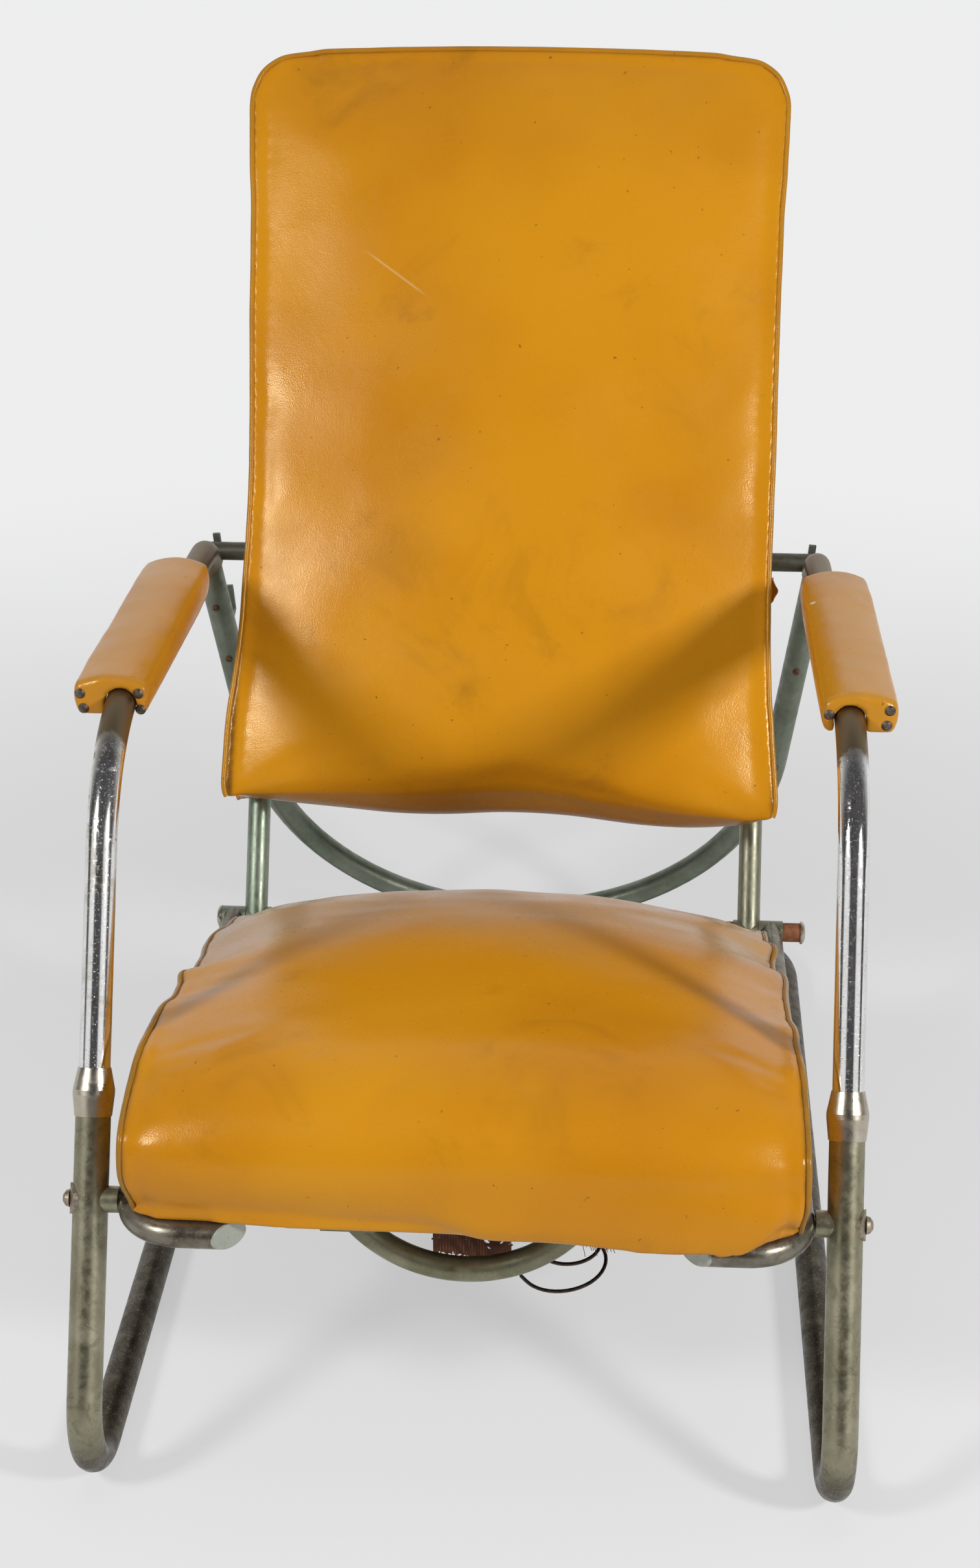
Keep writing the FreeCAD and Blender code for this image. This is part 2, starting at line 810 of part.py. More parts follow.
cap_radius = size("rod_cap_od") / 2
cap_thick = size("rod_cap_thickness")
master_cap = revolved(
    "rod_cap_master",
    [
        (0.0, size("slip_fit")),
        (cap_radius, size("slip_fit")),
        (cap_radius, cap_thick * 0.3),
        (cap_radius * 0.9, cap_thick * 0.62),
        (cap_radius * 0.6, cap_thick * 0.9),
        (cap_radius * 0.25, cap_thick),
        (0.0, cap_thick),
    ],
)
rod_caps = []
for side_name, side, end in (("left", -1, rod_left), ("right", 1, rod_right)):
    place = seat_hinge_frame.multVec(Vector(end, 0, 0))
    turn = Rotation(z_axis, x_axis * side)
    rod_caps.append(copy_of("rod_cap_" + side_name, master_cap, Placement(place, turn)))
register("rod_caps", group("rod_caps", rod_caps))

# Flat strip under both rails, which carries the bowed front tube

strip_top = -rail_radius - size("slip_fit")
strip_body = new_body("strip_body")
strip_sketch = new_sketch(strip_body, "strip_outline", "XY_Plane")
strip_half = rail_x + rail_radius - 3
strip_near = size("strip_back") - size("strip_width") / 2
strip_far = size("strip_back") + size("strip_width") / 2
outline(
    strip_sketch,
    [
        (-strip_half, strip_near),
        (strip_half, strip_near),
        (strip_half, strip_far),
        (-strip_half, strip_far),
    ],
)
bow_bolt_x = size("bow_width") / 2 - size("bow_ear_end")
for side in (-1, 1):
    ring(strip_sketch, "Sizes.screw_od / 2 + Sizes.slip_fit", 2.55, (side * bow_bolt_x, size("strip_back")))
pad(strip_body, strip_sketch, "strip_pad", "Sizes.strip_thickness", reverse=True)
register(
    "front_cross_strip",
    strip_body,
    seat_frame.multiply(Placement(Vector(0, 0, strip_top), Rotation())),
)

bow_thick = 2 * size("tube_wall") + 1.2
bow_top = strip_top - size("strip_thickness") - size("slip_fit")
bow_line = bow_top - bow_thick / 2
bow_y = size("strip_back")
bow_end = size("bow_width") / 2
bow_knee = bow_end - size("bow_flat")
bow_low = bow_top - size("bow_drop") + size("bow_tube_od") / 2
bow_rise = bow_line - bow_low
bow_half_span = size("bow_span") / 2
bow_radius = (bow_half_span**2 + bow_rise**2) / (2 * bow_rise)
bow_reach = bow_half_span + 3
bow_tip = bow_low + bow_radius - math.sqrt(bow_radius**2 - bow_reach**2)
bow_path = Part.Wire(
    [
        Part.Arc(
            Vector(-bow_reach, bow_y, bow_tip),
            Vector(0, bow_y, bow_low),
            Vector(bow_reach, bow_y, bow_tip),
        ).toShape()
    ]
)
bow_rod = swept_rod("bow_rod", bow_path, "Sizes.bow_tube_od / 2")
bow_shapes = [bow_rod]
for side_name, side in sides.items():
    ear = doc.addObject("Part::Box", "bow_ear_" + side_name)
    ear.setExpression("Length", "Sizes.bow_flat + 6")
    ear.setExpression("Width", "Sizes.bow_tube_od * 1.25")
    ear.Height = bow_thick
    x_start = bow_knee - 6 if side > 0 else -bow_end
    ear.Placement = Placement(
        Vector(x_start, bow_y - size("bow_tube_od") * 0.625, bow_top - bow_thick), Rotation()
    )
    bow_shapes.append(ear)
bow_solid = fuse("bow_solid", bow_shapes)
bow_cutters = [half_space("bow_top_block", Vector(0, bow_y, bow_top), z_axis, 320.0)]
for side_name, side in sides.items():
    bow_cutters.append(
        cylinder(
            "bow_hole_" + side_name,
            "Sizes.screw_od / 2 + Sizes.slip_fit",
            20,
            Vector(side * bow_bolt_x, bow_y, bow_top - 10),
            z_axis,
        )
    )
bow_tools = fuse("bow_tools", bow_cutters)
register("front_bow", cut("front_bow", bow_solid, bow_tools), seat_frame)

bow_screw_length = bow_thick + size("strip_thickness") + 2 * size("slip_fit")
master_rivet = revolved(
    "bow_rivet_master",
    [
        (0.0, -2.6),
        (3.0, -2.2),
        (5.0, 0.0),
        (shank, 0.0),
        (shank, bow_screw_length),
        (4.2, bow_screw_length),
        (3.0, bow_screw_length + 1.6),
        (0.0, bow_screw_length + 2.0),
    ],
)
bow_rivets = []
for side_name, side in sides.items():
    local = Vector(side * bow_bolt_x, bow_y, bow_top - bow_thick - size("slip_fit"))
    place = Placement(seat_frame.multVec(local), seat_frame.Rotation)
    bow_rivets.append(copy_of("bow_rivet_" + side_name, master_rivet, place))
register("bow_rivets", group("bow_rivets", bow_rivets))

# Drop straps under the seat: flat bands bent down from rail to rail, which carry the springs

strap_gap = size("slip_fit")
strap_thick = size("strap_thickness")
strap_floor = -size("strap_drop")
strap_outer = rail_x - 4
strap_top = -rail_radius - strap_gap
strap_half_flat = size("strap_flat") / 2
strap_tab = rail_inside - 6
straps = []
for number in range(2):
    strap_y = size("strap_first") + number * size("strap_pitch")
    body = new_body("strap_%d" % number)
    sketch = new_sketch(body, "strap_profile_%d" % number, "XZ_Plane")
    right_top = [
        (strap_outer, strap_top),
        (strap_outer, strap_top - strap_thick),
        (strap_tab - 3, strap_top - strap_thick),
        (strap_half_flat, strap_floor - strap_thick),
    ]
    left_bottom = [(-x, z) for x, z in reversed(right_top)]
    upper = [
        (-strap_tab, strap_top),
        (-strap_half_flat + 1, strap_floor),
        (strap_half_flat - 1, strap_floor),
        (strap_tab, strap_top),
    ]
    outline(sketch, right_top + left_bottom + upper)
    pad(body, sketch, "strap_pad_%d" % number, "Sizes.strap_width", middle=True)
    body.Placement = Placement(Vector(0, strap_y, 0), Rotation())
    straps.append(body)
for number, body in enumerate(straps):
    frame = seat_frame.multiply(body.Placement)
    register("spring_strap_%d" % (number + 1), body, frame)

# Coil springs: hourglass coils of open wire standing on the drop straps

wire_radius = size("spring_wire") / 2


def arc_from(start, tangent, end):
    chord = end - start
    along = Vector(chord).normalize()
    angle = tangent.getAngle(chord)
    side_way = (tangent - along * tangent.dot(along)).normalize()
    middle = (start + end) * 0.5 + side_way * (chord.Length / 2 * math.tan(angle / 2))
    return Part.Arc(start, middle, end).toShape()


def biarc(start, start_tangent, end, end_tangent):
    gap = end - start
    both = start_tangent + end_tangent
    bend = 2 * (1 - start_tangent.dot(end_tangent))
    root = math.sqrt(gap.dot(both) ** 2 + bend * gap.dot(gap))
    reach = (root - gap.dot(both)) / bend
    joint = (start + end + (start_tangent - end_tangent) * reach) * 0.5
    joint_tangent = (end - end_tangent * reach - start - start_tangent * reach).normalize()
    return [arc_from(start, start_tangent, joint), arc_from(joint, joint_tangent, end)]


def coil_point(turn, turns, low, high, end_radius, waist_radius):
    share = turn / turns
    radius = waist_radius + (end_radius - waist_radius) * (2 * share - 1) ** 2
    angle = 2 * math.pi * turn
    return Vector(radius * math.cos(angle), radius * math.sin(angle), low + (high - low) * share)


def coil(low, high, turns, end_radius, waist_radius):
    # half turns joined as biarcs, swept as one unbroken wire
    def point(turn):
        return coil_point(turn, turns, low, high, end_radius, waist_radius)

    def tangent(turn):
        step = 1e-4
        return (point(turn + step) - point(turn - step)).normalize()

    halves = round(turns * 2)
    edges = []
    for i in range(halves):
        first = turns * i / halves
        last = turns * (i + 1) / halves
        edges += biarc(point(first), tangent(first), point(last), tangent(last))
    spine = Part.Wire(edges)
    circle = Part.Circle(point(0), tangent(0), wire_radius)
    pipe = Part.BRepOffsetAPI.MakePipeShell(spine)
    pipe.add(Part.Wire([circle.toShape()]))
    pipe.build()
    pipe.makeSolid()
    samples = [point(turns * i / 400) for i in range(401)]
    per_turn = int(400 / turns)
    gap = min(
        (samples[i] - samples[j]).Length
        for i in range(0, 401, 3)
        for j in range(i + per_turn // 2, 401)
    )
    return pipe.shape(), gap - 2 * wire_radius


jute_bottom = rail_radius + size("slip_fit") - size("jute_thickness") - 2.0
spring_low = strap_floor + wire_radius + size("seat_gap")
spring_high = jute_bottom - wire_radius - size("seat_gap")
end_radius = (size("spring_end_od") - size("spring_wire")) / 2
waist_radius = (size("spring_waist_od") - size("spring_wire")) / 2
spring_shape, spring_gap = coil(
    spring_low, spring_high, size("spring_turns"), end_radius, waist_radius
)
print("spring: least gap between turns %.2f mm" % spring_gap)
for row in range(2):
    springs = []
    for column in (-1, 0, 1):
        place = Vector(
            column * size("spring_spacing"), size("strap_first") + row * size("strap_pitch"), 0
        )
        copy = doc.addObject("Part::Feature", "spring_%d_%d" % (row, column + 1))
        shape = spring_shape.copy()
        shape.Placement = Placement(place, Rotation())
        copy.Shape = shape
        springs.append(copy)
    register("seat_springs_row_%d" % (row + 1), group("springs_row_%d" % row, springs), seat_frame)

# One spring has come loose behind the front bow and hangs a little lower

loose_shape, loose_gap = coil(
    -size("loose_spring_drop"), spring_high, size("spring_turns"), end_radius, waist_radius
)
loose_wire = doc.addObject("Part::Feature", "loose_wire")
loose_shape.Placement = Placement(
    Vector(size("loose_spring_x"), size("loose_spring_y"), 0), Rotation(z_axis, 180)
)
loose_wire.Shape = loose_shape
register("loose_spring", group("loose_spring_group", [loose_wire]), seat_frame)

# Jute layer over the springs

jute_body = new_body("jute_body")
jute_sketch = new_sketch(jute_body, "jute_outline", "XY_Plane")
jute_half = rail_inside - 3
jute_front = -size("rail_front") + rail_radius + 16
jute_rear = rail_length - size("knuckle_od") / 2 - 50
outline(
    jute_sketch,
    [
        (-jute_half, jute_front),
        (jute_half, jute_front),
        (jute_half, jute_rear),
        (-jute_half, jute_rear),
    ],
)
pad(jute_body, jute_sketch, "jute_pad", "Sizes.jute_thickness")
register("jute_layer", jute_body, seat_frame.multiply(Placement(Vector(0, 0, jute_bottom), Rotation())))

# Seat cushion: a waterfall form lofted from side panel to side panel

seat_floor = rail_radius + size("seat_gap")


def seat_section(x, crown, pull):
    # side profile of the cushion at one place across its width, narrower towards the rear
    half = size("seat_width") / 2
    taper = size("seat_taper")
    top = seat_floor + size("seat_thickness") + crown
    rear_thickness = size("seat_rear_thickness") + crown * 1.8
    rear_top = seat_floor + rear_thickness
    front = -size("seat_front") - crown * 0.5 + pull
    rear = size("seat_rear") + crown * 0.3 - pull

    def at(y, z):
        share = y / size("seat_rear")
        return Vector(x * (1 - taper / half * share), y, z)

    front_foot = at(front + 7, seat_floor)
    front_belly = at(front - 6, seat_floor + size("seat_thickness") * 0.3)
    front_brow = at(front - 2, seat_floor + size("seat_thickness") * 0.62)
    brow_turn = at(front + 24, top - 21)
    crest = at(front + 84, top)
    top_middle = at((front + rear) / 2 - 20, (top + rear_top) / 2 + 7)
    rear_crest = at(rear - 128, rear_top)
    rear_turn = at(rear - 40, seat_floor + rear_thickness * 0.62)
    rear_belly = at(rear, seat_floor + rear_thickness * 0.2)
    rear_side = at(rear - 3, seat_floor + rear_thickness * 0.1)
    rear_foot = at(rear - 10, seat_floor)
    return Part.Wire(
        [
            Part.Arc(front_foot, front_belly, front_brow).toShape(),
            Part.Arc(front_brow, brow_turn, crest).toShape(),
            Part.Arc(crest, top_middle, rear_crest).toShape(),
            Part.Arc(rear_crest, rear_turn, rear_belly).toShape(),
            Part.Arc(rear_belly, rear_side, rear_foot).toShape(),
            Part.LineSegment(rear_foot, front_foot).toShape(),
        ]
    )


seat_half = size("seat_width") / 2
seat_crown = size("seat_crown")
seat_stations = [
    (1.0, -0.8, 15.0),
    (0.985, -0.45, 7.0),
    (0.955, -0.15, 2.5),
    (0.9, 0.1, 0.5),
    (0.78, 0.4, 0.0),
    (0.6, 0.66, 0.0),
    (0.35, 0.9, 0.0),
    (0.0, 1.0, 0.0),
]
seat_stations = seat_stations + [(-a, b, c) for a, b, c in reversed(seat_stations[:-1])]
seat_wires = [
    seat_section(share * seat_half, crown * seat_crown, pull)
    for share, crown, pull in reversed(seat_stations)
]
seat_cushion = doc.addObject("Part::Feature", "seat_cushion")
seat_cushion.Shape = Part.makeLoft(seat_wires, True, True)
register("seat_cushion", seat_cushion, seat_frame)

# Back frame, drawn along its posts: Z runs up from the hinge rod, Y behind the posts

back_frame = Placement(hinge, turned(x_axis, -size("back_lean")))
post_top = size("post_length")
post_path = rounded_path(
    [
        Vector(-post_x, 0, 0),
        Vector(-post_x, 0, post_top),
        Vector(post_x, 0, post_top),
        Vector(post_x, 0, 0),
    ],
    [size("post_corner_radius"), size("post_corner_radius")],
)
posts = tube("posts", post_path, "post_tube_od")
post_cope = cylinder(
    "post_cope",
    "Sizes.knuckle_od / 2 + Sizes.slip_fit",
    size("post_spacing") + 80,
    Vector(-post_x - 40, 0, 0),
    x_axis,
)
register("back_post_frame", cut("back_post_frame", posts, post_cope), back_frame)

for side_name, side in sides.items():
    outer = post_x + half_knuckle - 3.0
    inner = outer - size("knuckle_length")
    ends = sorted((side * inner, side * outer))
    body, local = knuckle("post_knuckle_" + side_name, ends[0], ends[1])
    register("back_sleeve_" + side_name, body, back_frame.multiply(local))

# Cross bar behind the posts, with a plug in each end

bar_local = Vector(0, bar_offset + size("slip_fit"), size("bar_along_post"))
bar_half = size("bar_length") / 2
bar_body = new_body("bar_body")
bar_sketch = new_sketch(bar_body, "bar_ring", "XY_Plane")
ring(bar_sketch, "Sizes.bar_tube_od / 2", size("bar_tube_od") / 2)
ring(bar_sketch, "Sizes.bar_tube_od / 2 - Sizes.tube_wall", size("bar_tube_od") / 2 - 2)
pad(bar_body, bar_sketch, "bar_pad", "Sizes.bar_length")
bar_place = Placement(bar_local - x_axis * bar_half, Rotation(z_axis, x_axis))
register("cross_bar", bar_body, back_frame.multiply(bar_place))

plug_radius = size("bar_tube_od") / 2 - size("tube_wall") - size("slip_fit")
plug_rise = size("bar_plug_rise")
master_plug = revolved(
    "plug_master",
    [
        (0.0, -12.0),
        (plug_radius, -12.0),
        (plug_radius, 0.0),
        (size("bar_plug_od") / 2, size("slip_fit")),
        (size("bar_plug_od") / 2, plug_rise * 0.6),
        (size("bar_plug_od") / 2 - 1.2, plug_rise),
        (0.0, plug_rise),
    ],
)
plugs = []
for side_name, side in sides.items():
    place = back_frame.multVec(bar_local + x_axis * side * bar_half)
    plugs.append(
        copy_of("bar_plug_" + side_name, master_plug, Placement(place, Rotation(z_axis, x_axis * side)))
    )
register("bar_end_plugs", group("bar_end_plugs", plugs))

# Spring-steel bands across the posts, riveted to them, under the back cushion

band_near = -size("post_tube_od") / 2 - size("slip_fit")
band_half = post_x + 7
band_body = new_body("band_body")
band_sketch = new_sketch(band_body, "band_outline", "XZ_Plane")
band_low = size("band_first") - size("band_width") / 2
band_high = size("band_first") + size("band_width") / 2
outline(
    band_sketch,
    [
        (-band_half, band_low),
        (band_half, band_low),
        (band_half, band_high),
        (-band_half, band_high),
    ],
)
for side in (-1, 1):
    ring(band_sketch, "Sizes.rivet_od / 4 + Sizes.slip_fit", 1.8, (side * post_x, size("band_first")))
pad(band_body, band_sketch, "band_pad", "Sizes.band_thickness")
doc.recompute()
bands = []
for number in range(4):
    place = Placement(Vector(0, band_near, number * size("band_pitch")), Rotation())
    bands.append(copy_of("back_band_%d" % number, band_body, place))
register("back_bands", group("back_bands", bands), back_frame)

rivet_radius = size("rivet_od") / 2
master_band_rivet = revolved(
    "band_rivet_master",
    [
        (0.0, -1.6),
        (rivet_radius * 0.6, -1.4),
        (rivet_radius, 0.0),
        (rivet_radius / 2, 0.0),
        (rivet_radius / 2, size("band_thickness") + size("slip_fit")),
        (0.0, size("band_thickness") + size("slip_fit")),
    ],
)
band_rivets = []
for number in range(4):
    for side in (-1, 1):
        level = size("band_first") + number * size("band_pitch")
        place = Vector(side * post_x, band_near - size("band_thickness"), level)
        band_rivets.append(
            copy_of(
                "band_rivet_%d_%d" % (number, side + 1),
                master_band_rivet,
                Placement(place, Rotation(z_axis, y_axis)),
            )
        )
register("band_rivets", group("band_rivets", band_rivets), back_frame)

# Back cushion: outlines stacked from the bands forward, fullest at the front seam

back_rear = band_near - size("band_thickness") - 1.6 - size("seat_gap")


def back_outline(y, inset, waist):
    # boxed outline with rounded upper corners and drawn-in sides
    half = size("back_width") / 2 - inset
    low = size("back_start") + inset
    high = size("back_end") - inset
    radius = max(size("back_corner_radius") - inset * 0.2, 8.0)
    foot = 16.0
    middle = (low + high) / 2
    quarter = radius * (1 - math.sqrt(0.5))
    foot_quarter = foot * (1 - math.sqrt(0.5))
    right = [
        Part.Arc(
            Vector(half - foot, y, low),
            Vector(half - foot_quarter, y, low + foot_quarter),
            Vector(half, y, low + foot),
        ).toShape(),
        Part.Arc(
            Vector(half, y, low + foot), Vector(half - waist, y, middle), Vector(half, y, high - radius)
        ).toShape(),
        Part.Arc(
            Vector(half, y, high - radius),
            Vector(half - quarter, y, high - quarter),
            Vector(half - radius, y, high),
        ).toShape(),
    ]
    top = Part.Arc(
        Vector(half - radius, y, high), Vector(0, y, high + waist), Vector(radius - half, y, high)
    ).toShape()
    left = [
        Part.Arc(
            Vector(radius - half, y, high),
            Vector(quarter - half, y, high - quarter),
            Vector(-half, y, high - radius),
        ).toShape(),
        Part.Arc(
            Vector(-half, y, high - radius), Vector(waist - half, y, middle), Vector(-half, y, low + foot)
        ).toShape(),
        Part.Arc(
            Vector(-half, y, low + foot),
            Vector(foot_quarter - half, y, low + foot_quarter),
            Vector(foot - half, y, low),
        ).toShape(),
    ]
    bottom = Part.LineSegment(Vector(foot - half, y, low), Vector(half - foot, y, low)).toShape()
    return Part.Wire(right + [top] + left + [bottom])


waist = size("back_waist")
depth = size("back_thickness") - size("back_crown")
back_layers = [
    (0.0, 9.0, waist),
    (depth * 0.06, 3.0, waist),
    (depth * 0.5, 0.0, waist + 1),
    (depth * 0.95, 2.0, waist),
]
back_half = size("back_width") / 2
for share in (0.023, 0.06, 0.128, 0.226, 0.358, 0.528, 0.717, 0.849):
    rise = 1 - (1 - (share - 0.015) / 0.868) ** 2.4
    back_layers.append((depth + size("back_crown") * rise, share * back_half, waist * (1 - share)))
back_wires = [back_outline(back_rear - layer, inset, draw) for layer, inset, draw in back_layers]
back_cushion = doc.addObject("Part::Feature", "back_cushion")
back_cushion.Shape = Part.makeLoft(back_wires, True, True)
register("back_cushion", back_cushion, back_frame)

# Armrests: a grooved board on the tube under a domed, covered pad

arm_frames = {}
for side_name, side in sides.items():
    along = (size("pad_front_y") - arm_corner.y) / arm_direction.y
    start = arm_corner + arm_direction * along
    place = beside(start, side, half_width + size("pad_offset"))
    arm_frames[side_name] = Placement(place, turned(x_axis, -size("arm_slope")))


def pad_section(y, half, low, shoulder, crown):
    side_bulge = 2.0
    return Part.Wire(
        [
            Part.LineSegment(Vector(-half + 3, y, low), Vector(half - 3, y, low)).toShape(),
            Part.Arc(
                Vector(half - 3, y, low),
                Vector(half + side_bulge - 1, y, (low + shoulder) / 2),
                Vector(half - 1, y, shoulder),
            ).toShape(),
            Part.Arc(
                Vector(half - 1, y, shoulder), Vector(0, y, crown), Vector(1 - half, y, shoulder)
            ).toShape(),
            Part.Arc(
                Vector(1 - half, y, shoulder),
                Vector(1 - half - side_bulge, y, (low + shoulder) / 2),
                Vector(-half + 3, y, low),
            ).toShape(),
        ]
    )


nail_radius = size("nail_head_od") / 2
nail_shank = size("nail_shank_od") / 2
master_nail = revolved(
    "nail_master",
    [
        (0.0, -2.2),
        (nail_radius * 0.6, -1.7),
        (nail_radius, 0.0),
        (nail_shank, 0.0),
        (nail_shank, 8.0),
        (0.0, 8.0),
    ],
)
nail_places = {
    "left": [(-25.5, 5.0), (23.5, 6.0), (-23.0, -8.0), (25.0, -8.0)],
    "right": [(-25.5, 2.0), (24.0, 6.5), (22.0, -6.5)],
}
pad_half = size("pad_width") / 2
pad_low = -size("pad_depth")
pad_stations = [
    (0.0, 3.5, 4.0),
    (2.0, 1.5, 1.6),
    (6.0, 0.3, 0.3),
    (60.0, 0.0, 0.0),
    (size("pad_length") - 60.0, 0.0, 0.0),
    (size("pad_length") - 8.0, 1.2, 1.2),
    (size("pad_length") - 3.0, 3.0, 3.0),
    (size("pad_length"), 6.0, 6.0),
]


def pad_top(y, drop):
    # the pad is thicker towards the rear
    return size("pad_rise") * y / size("pad_length") - drop


board_top = size("arm_tube_od") / 2 + 1.5
board_start = (size("pad_length") - size("board_length")) / 2
for side_name, side in sides.items():
    frame = arm_frames[side_name]
    groove_path = rounded_path(
        [
            beside(ferrule_point, side),
            beside(arm_corner, side),
            beside(rear_corner, side),
        ],
        [size("arm_bend_radius")],
    )
    groove = swept_rod("groove_" + side_name, groove_path, "Sizes.arm_tube_od / 2 + Sizes.seat_gap")
    board = doc.addObject("Part::Box", "board_" + side_name)
    board.setExpression("Length", "Sizes.board_width")
    board.setExpression("Width", "Sizes.board_length")
    board.setExpression("Height", "Sizes.board_thickness")
    board_place = Vector(-size("board_width") / 2, board_start, board_top - size("board_thickness"))
    board.Placement = frame.multiply(Placement(board_place, Rotation()))
    register("armrest_board_" + side_name, cut("armrest_board_" + side_name, board, groove))
    dome = doc.addObject("Part::Feature", "pad_dome_" + side_name)
    wires = [
        pad_section(
            y,
            pad_half - draw,
            pad_low,
            size("pad_shoulder") + pad_top(y, drop),
            size("pad_crown") + pad_top(y, drop),
        )
        for y, draw, drop in pad_stations
    ]
    dome.Shape = Part.makeLoft(wires, True, True)
    dome.Placement = frame
    bed = doc.addObject("Part::Box", "bed_" + side_name)
    bed.setExpression("Length", "Sizes.board_width + 2 * Sizes.seat_gap")
    bed.setExpression("Width", "Sizes.board_length + 2 * Sizes.seat_gap")
    bed_height = board_top - pad_low + size("seat_gap") + 5
    bed.Height = bed_height
    gap = size("seat_gap")
    bed_place = board_place - Vector(gap, gap, 0)
    bed_place.z = pad_low - 5
    bed.Placement = frame.multiply(Placement(bed_place, Rotation()))
    wide_groove = swept_rod(
        "pad_groove_" + side_name, groove_path, "Sizes.arm_tube_od / 2 + Sizes.seat_gap * 2"
    )
    entry = doc.addObject("Part::Box", "pad_entry_" + side_name)
    entry.setExpression("Length", "Sizes.arm_tube_od + Sizes.seat_gap * 4")
    entry.setExpression("Width", "Sizes.pad_length + 20")
    entry.Height = 30
    entry_place = Vector(
        -side * size("pad_offset") - size("arm_tube_od") / 2 - 2 * gap, -10, pad_low - 26
    )
    entry.Placement = frame.multiply(Placement(entry_place, Rotation()))
    pad_cutters = [bed, wide_groove, entry]
    for number, (x, z) in enumerate(nail_places[side_name]):
        pad_cutters.append(
            cylinder(
                "nail_hole_%s_%d" % (side_name, number),
                "Sizes.nail_shank_od / 2 + Sizes.slip_fit",
                12,
                frame.multVec(Vector(x, -2, z)),
                frame.Rotation.multVec(y_axis),
            )
        )
    pad_tools = fuse("pad_tools_" + side_name, pad_cutters)
    register("armrest_pad_" + side_name, cut("armrest_pad_" + side_name, dome, pad_tools))

nails = []
for side_name, side in sides.items():
    frame = arm_frames[side_name]
    for number, (x, z) in enumerate(nail_places[side_name]):
        place = frame.multVec(Vector(x, -size("slip_fit"), z))
        turn = frame.Rotation.multiply(Rotation(z_axis, y_axis))
        nails.append(copy_of("nail_%s_%d" % (side_name, number), master_nail, Placement(place, turn)))
register("armrest_nails", group("armrest_nails", nails))

# The origin lies on the floor under the middle of the whole chair

doc.recompute()
low_y = min(piece.Shape.BoundBox.YMin for piece in subparts)
high_y = max(piece.Shape.BoundBox.YMax for piece in subparts)
centre_shift = Placement(Vector(0, -(low_y + high_y) / 2, 0), Rotation())
for piece in subparts:
    piece.Placement = centre_shift.multiply(piece.Placement)
doc.recompute()
print("pivot at y %.2f z %.2f" % (-(low_y + high_y) / 2, pivot.z))

faults = [o.Label for o in doc.Objects if "Invalid" in o.State or "Error" in o.State]
for piece in subparts:
    if piece.Shape.isNull() or not piece.Shape.isValid():
        faults.append(piece.Label)
if faults:
    raise RuntimeError("faulty objects: " + ", ".join(faults))

for piece in subparts:
    piece.Shape.exportStep("parts/%s.step" % piece.Label)
print("wrote %d sub-parts" % len(subparts))
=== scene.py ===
import json
import math

import bpy
from mathutils import Matrix, Vector, noise
from mathutils.kdtree import KDTree


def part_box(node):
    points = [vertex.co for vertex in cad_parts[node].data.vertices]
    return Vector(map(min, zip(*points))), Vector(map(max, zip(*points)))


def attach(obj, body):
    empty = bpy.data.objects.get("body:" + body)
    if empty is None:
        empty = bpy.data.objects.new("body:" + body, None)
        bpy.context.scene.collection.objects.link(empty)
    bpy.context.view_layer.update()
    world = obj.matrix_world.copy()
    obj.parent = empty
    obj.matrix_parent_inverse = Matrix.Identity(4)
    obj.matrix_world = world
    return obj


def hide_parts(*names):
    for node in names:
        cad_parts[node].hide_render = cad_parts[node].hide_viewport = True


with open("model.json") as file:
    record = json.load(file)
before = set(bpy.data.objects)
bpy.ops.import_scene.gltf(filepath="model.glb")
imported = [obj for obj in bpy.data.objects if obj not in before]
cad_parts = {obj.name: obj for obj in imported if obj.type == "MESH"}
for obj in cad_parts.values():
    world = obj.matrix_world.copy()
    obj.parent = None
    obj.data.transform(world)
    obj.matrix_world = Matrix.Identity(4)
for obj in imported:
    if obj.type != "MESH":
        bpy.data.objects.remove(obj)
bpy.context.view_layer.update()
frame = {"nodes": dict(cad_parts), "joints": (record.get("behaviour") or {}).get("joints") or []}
cadNodes = frame["nodes"]
print("frame loaded,", len(cadNodes), "nodes")

# where the seat and the back are drawn from: the front bolts and the hinge rod
joints = {joint["name"]: joint for joint in frame["joints"]}
pivotPoint = Vector(joints["seat_lift"]["pos_m"])
hingePoint = Vector(joints["back_hinge"]["pos_m"])
railAngle = math.atan2(hingePoint.z - pivotPoint.z, hingePoint.y - pivotPoint.y)
seatFrame = Matrix.Translation(pivotPoint) @ Matrix.Rotation(railAngle, 4, "X")
backFrame = Matrix.Translation(hingePoint) @ Matrix.Rotation(math.radians(-28.5), 4, "X")


def smooth(value, low, high):
    share = min(max((value - low) / (high - low), 0.0), 1.0)
    return share * share * (3 - 2 * share)


def dropSelection():
    if bpy.context.object and bpy.context.object.mode != "OBJECT":
        bpy.ops.object.mode_set(mode="OBJECT")
    bpy.ops.object.select_all(action="DESELECT")


def pick(piece):
    dropSelection()
    piece.select_set(True)
    bpy.context.view_layer.objects.active = piece


def applyAll(piece):
    pick(piece)
    for modifier in list(piece.modifiers):
        bpy.ops.object.modifier_apply(modifier=modifier.name)


def placed(name, data):
    piece = bpy.data.objects.new(name, data)
    bpy.context.scene.collection.objects.link(piece)
    return piece


def gridPiece(name, columns, rows):
    # a flat unit grid, laid out afterwards
    dropSelection()
    bpy.ops.mesh.primitive_grid_add(x_subdivisions=columns, y_subdivisions=rows, size=1.0)
    piece = bpy.context.object
    piece.name = name
    piece.data.name = name
    return piece


def thicken(piece, thickness):
    solid = piece.modifiers.new("thickness", "SOLIDIFY")
    solid.thickness = thickness
    solid.offset = 0
    applyAll(piece)


def nearTree(points):
    tree = KDTree(len(points))
    for number, point in enumerate(points):
        tree.insert(point, number)
    tree.balance()
    return tree


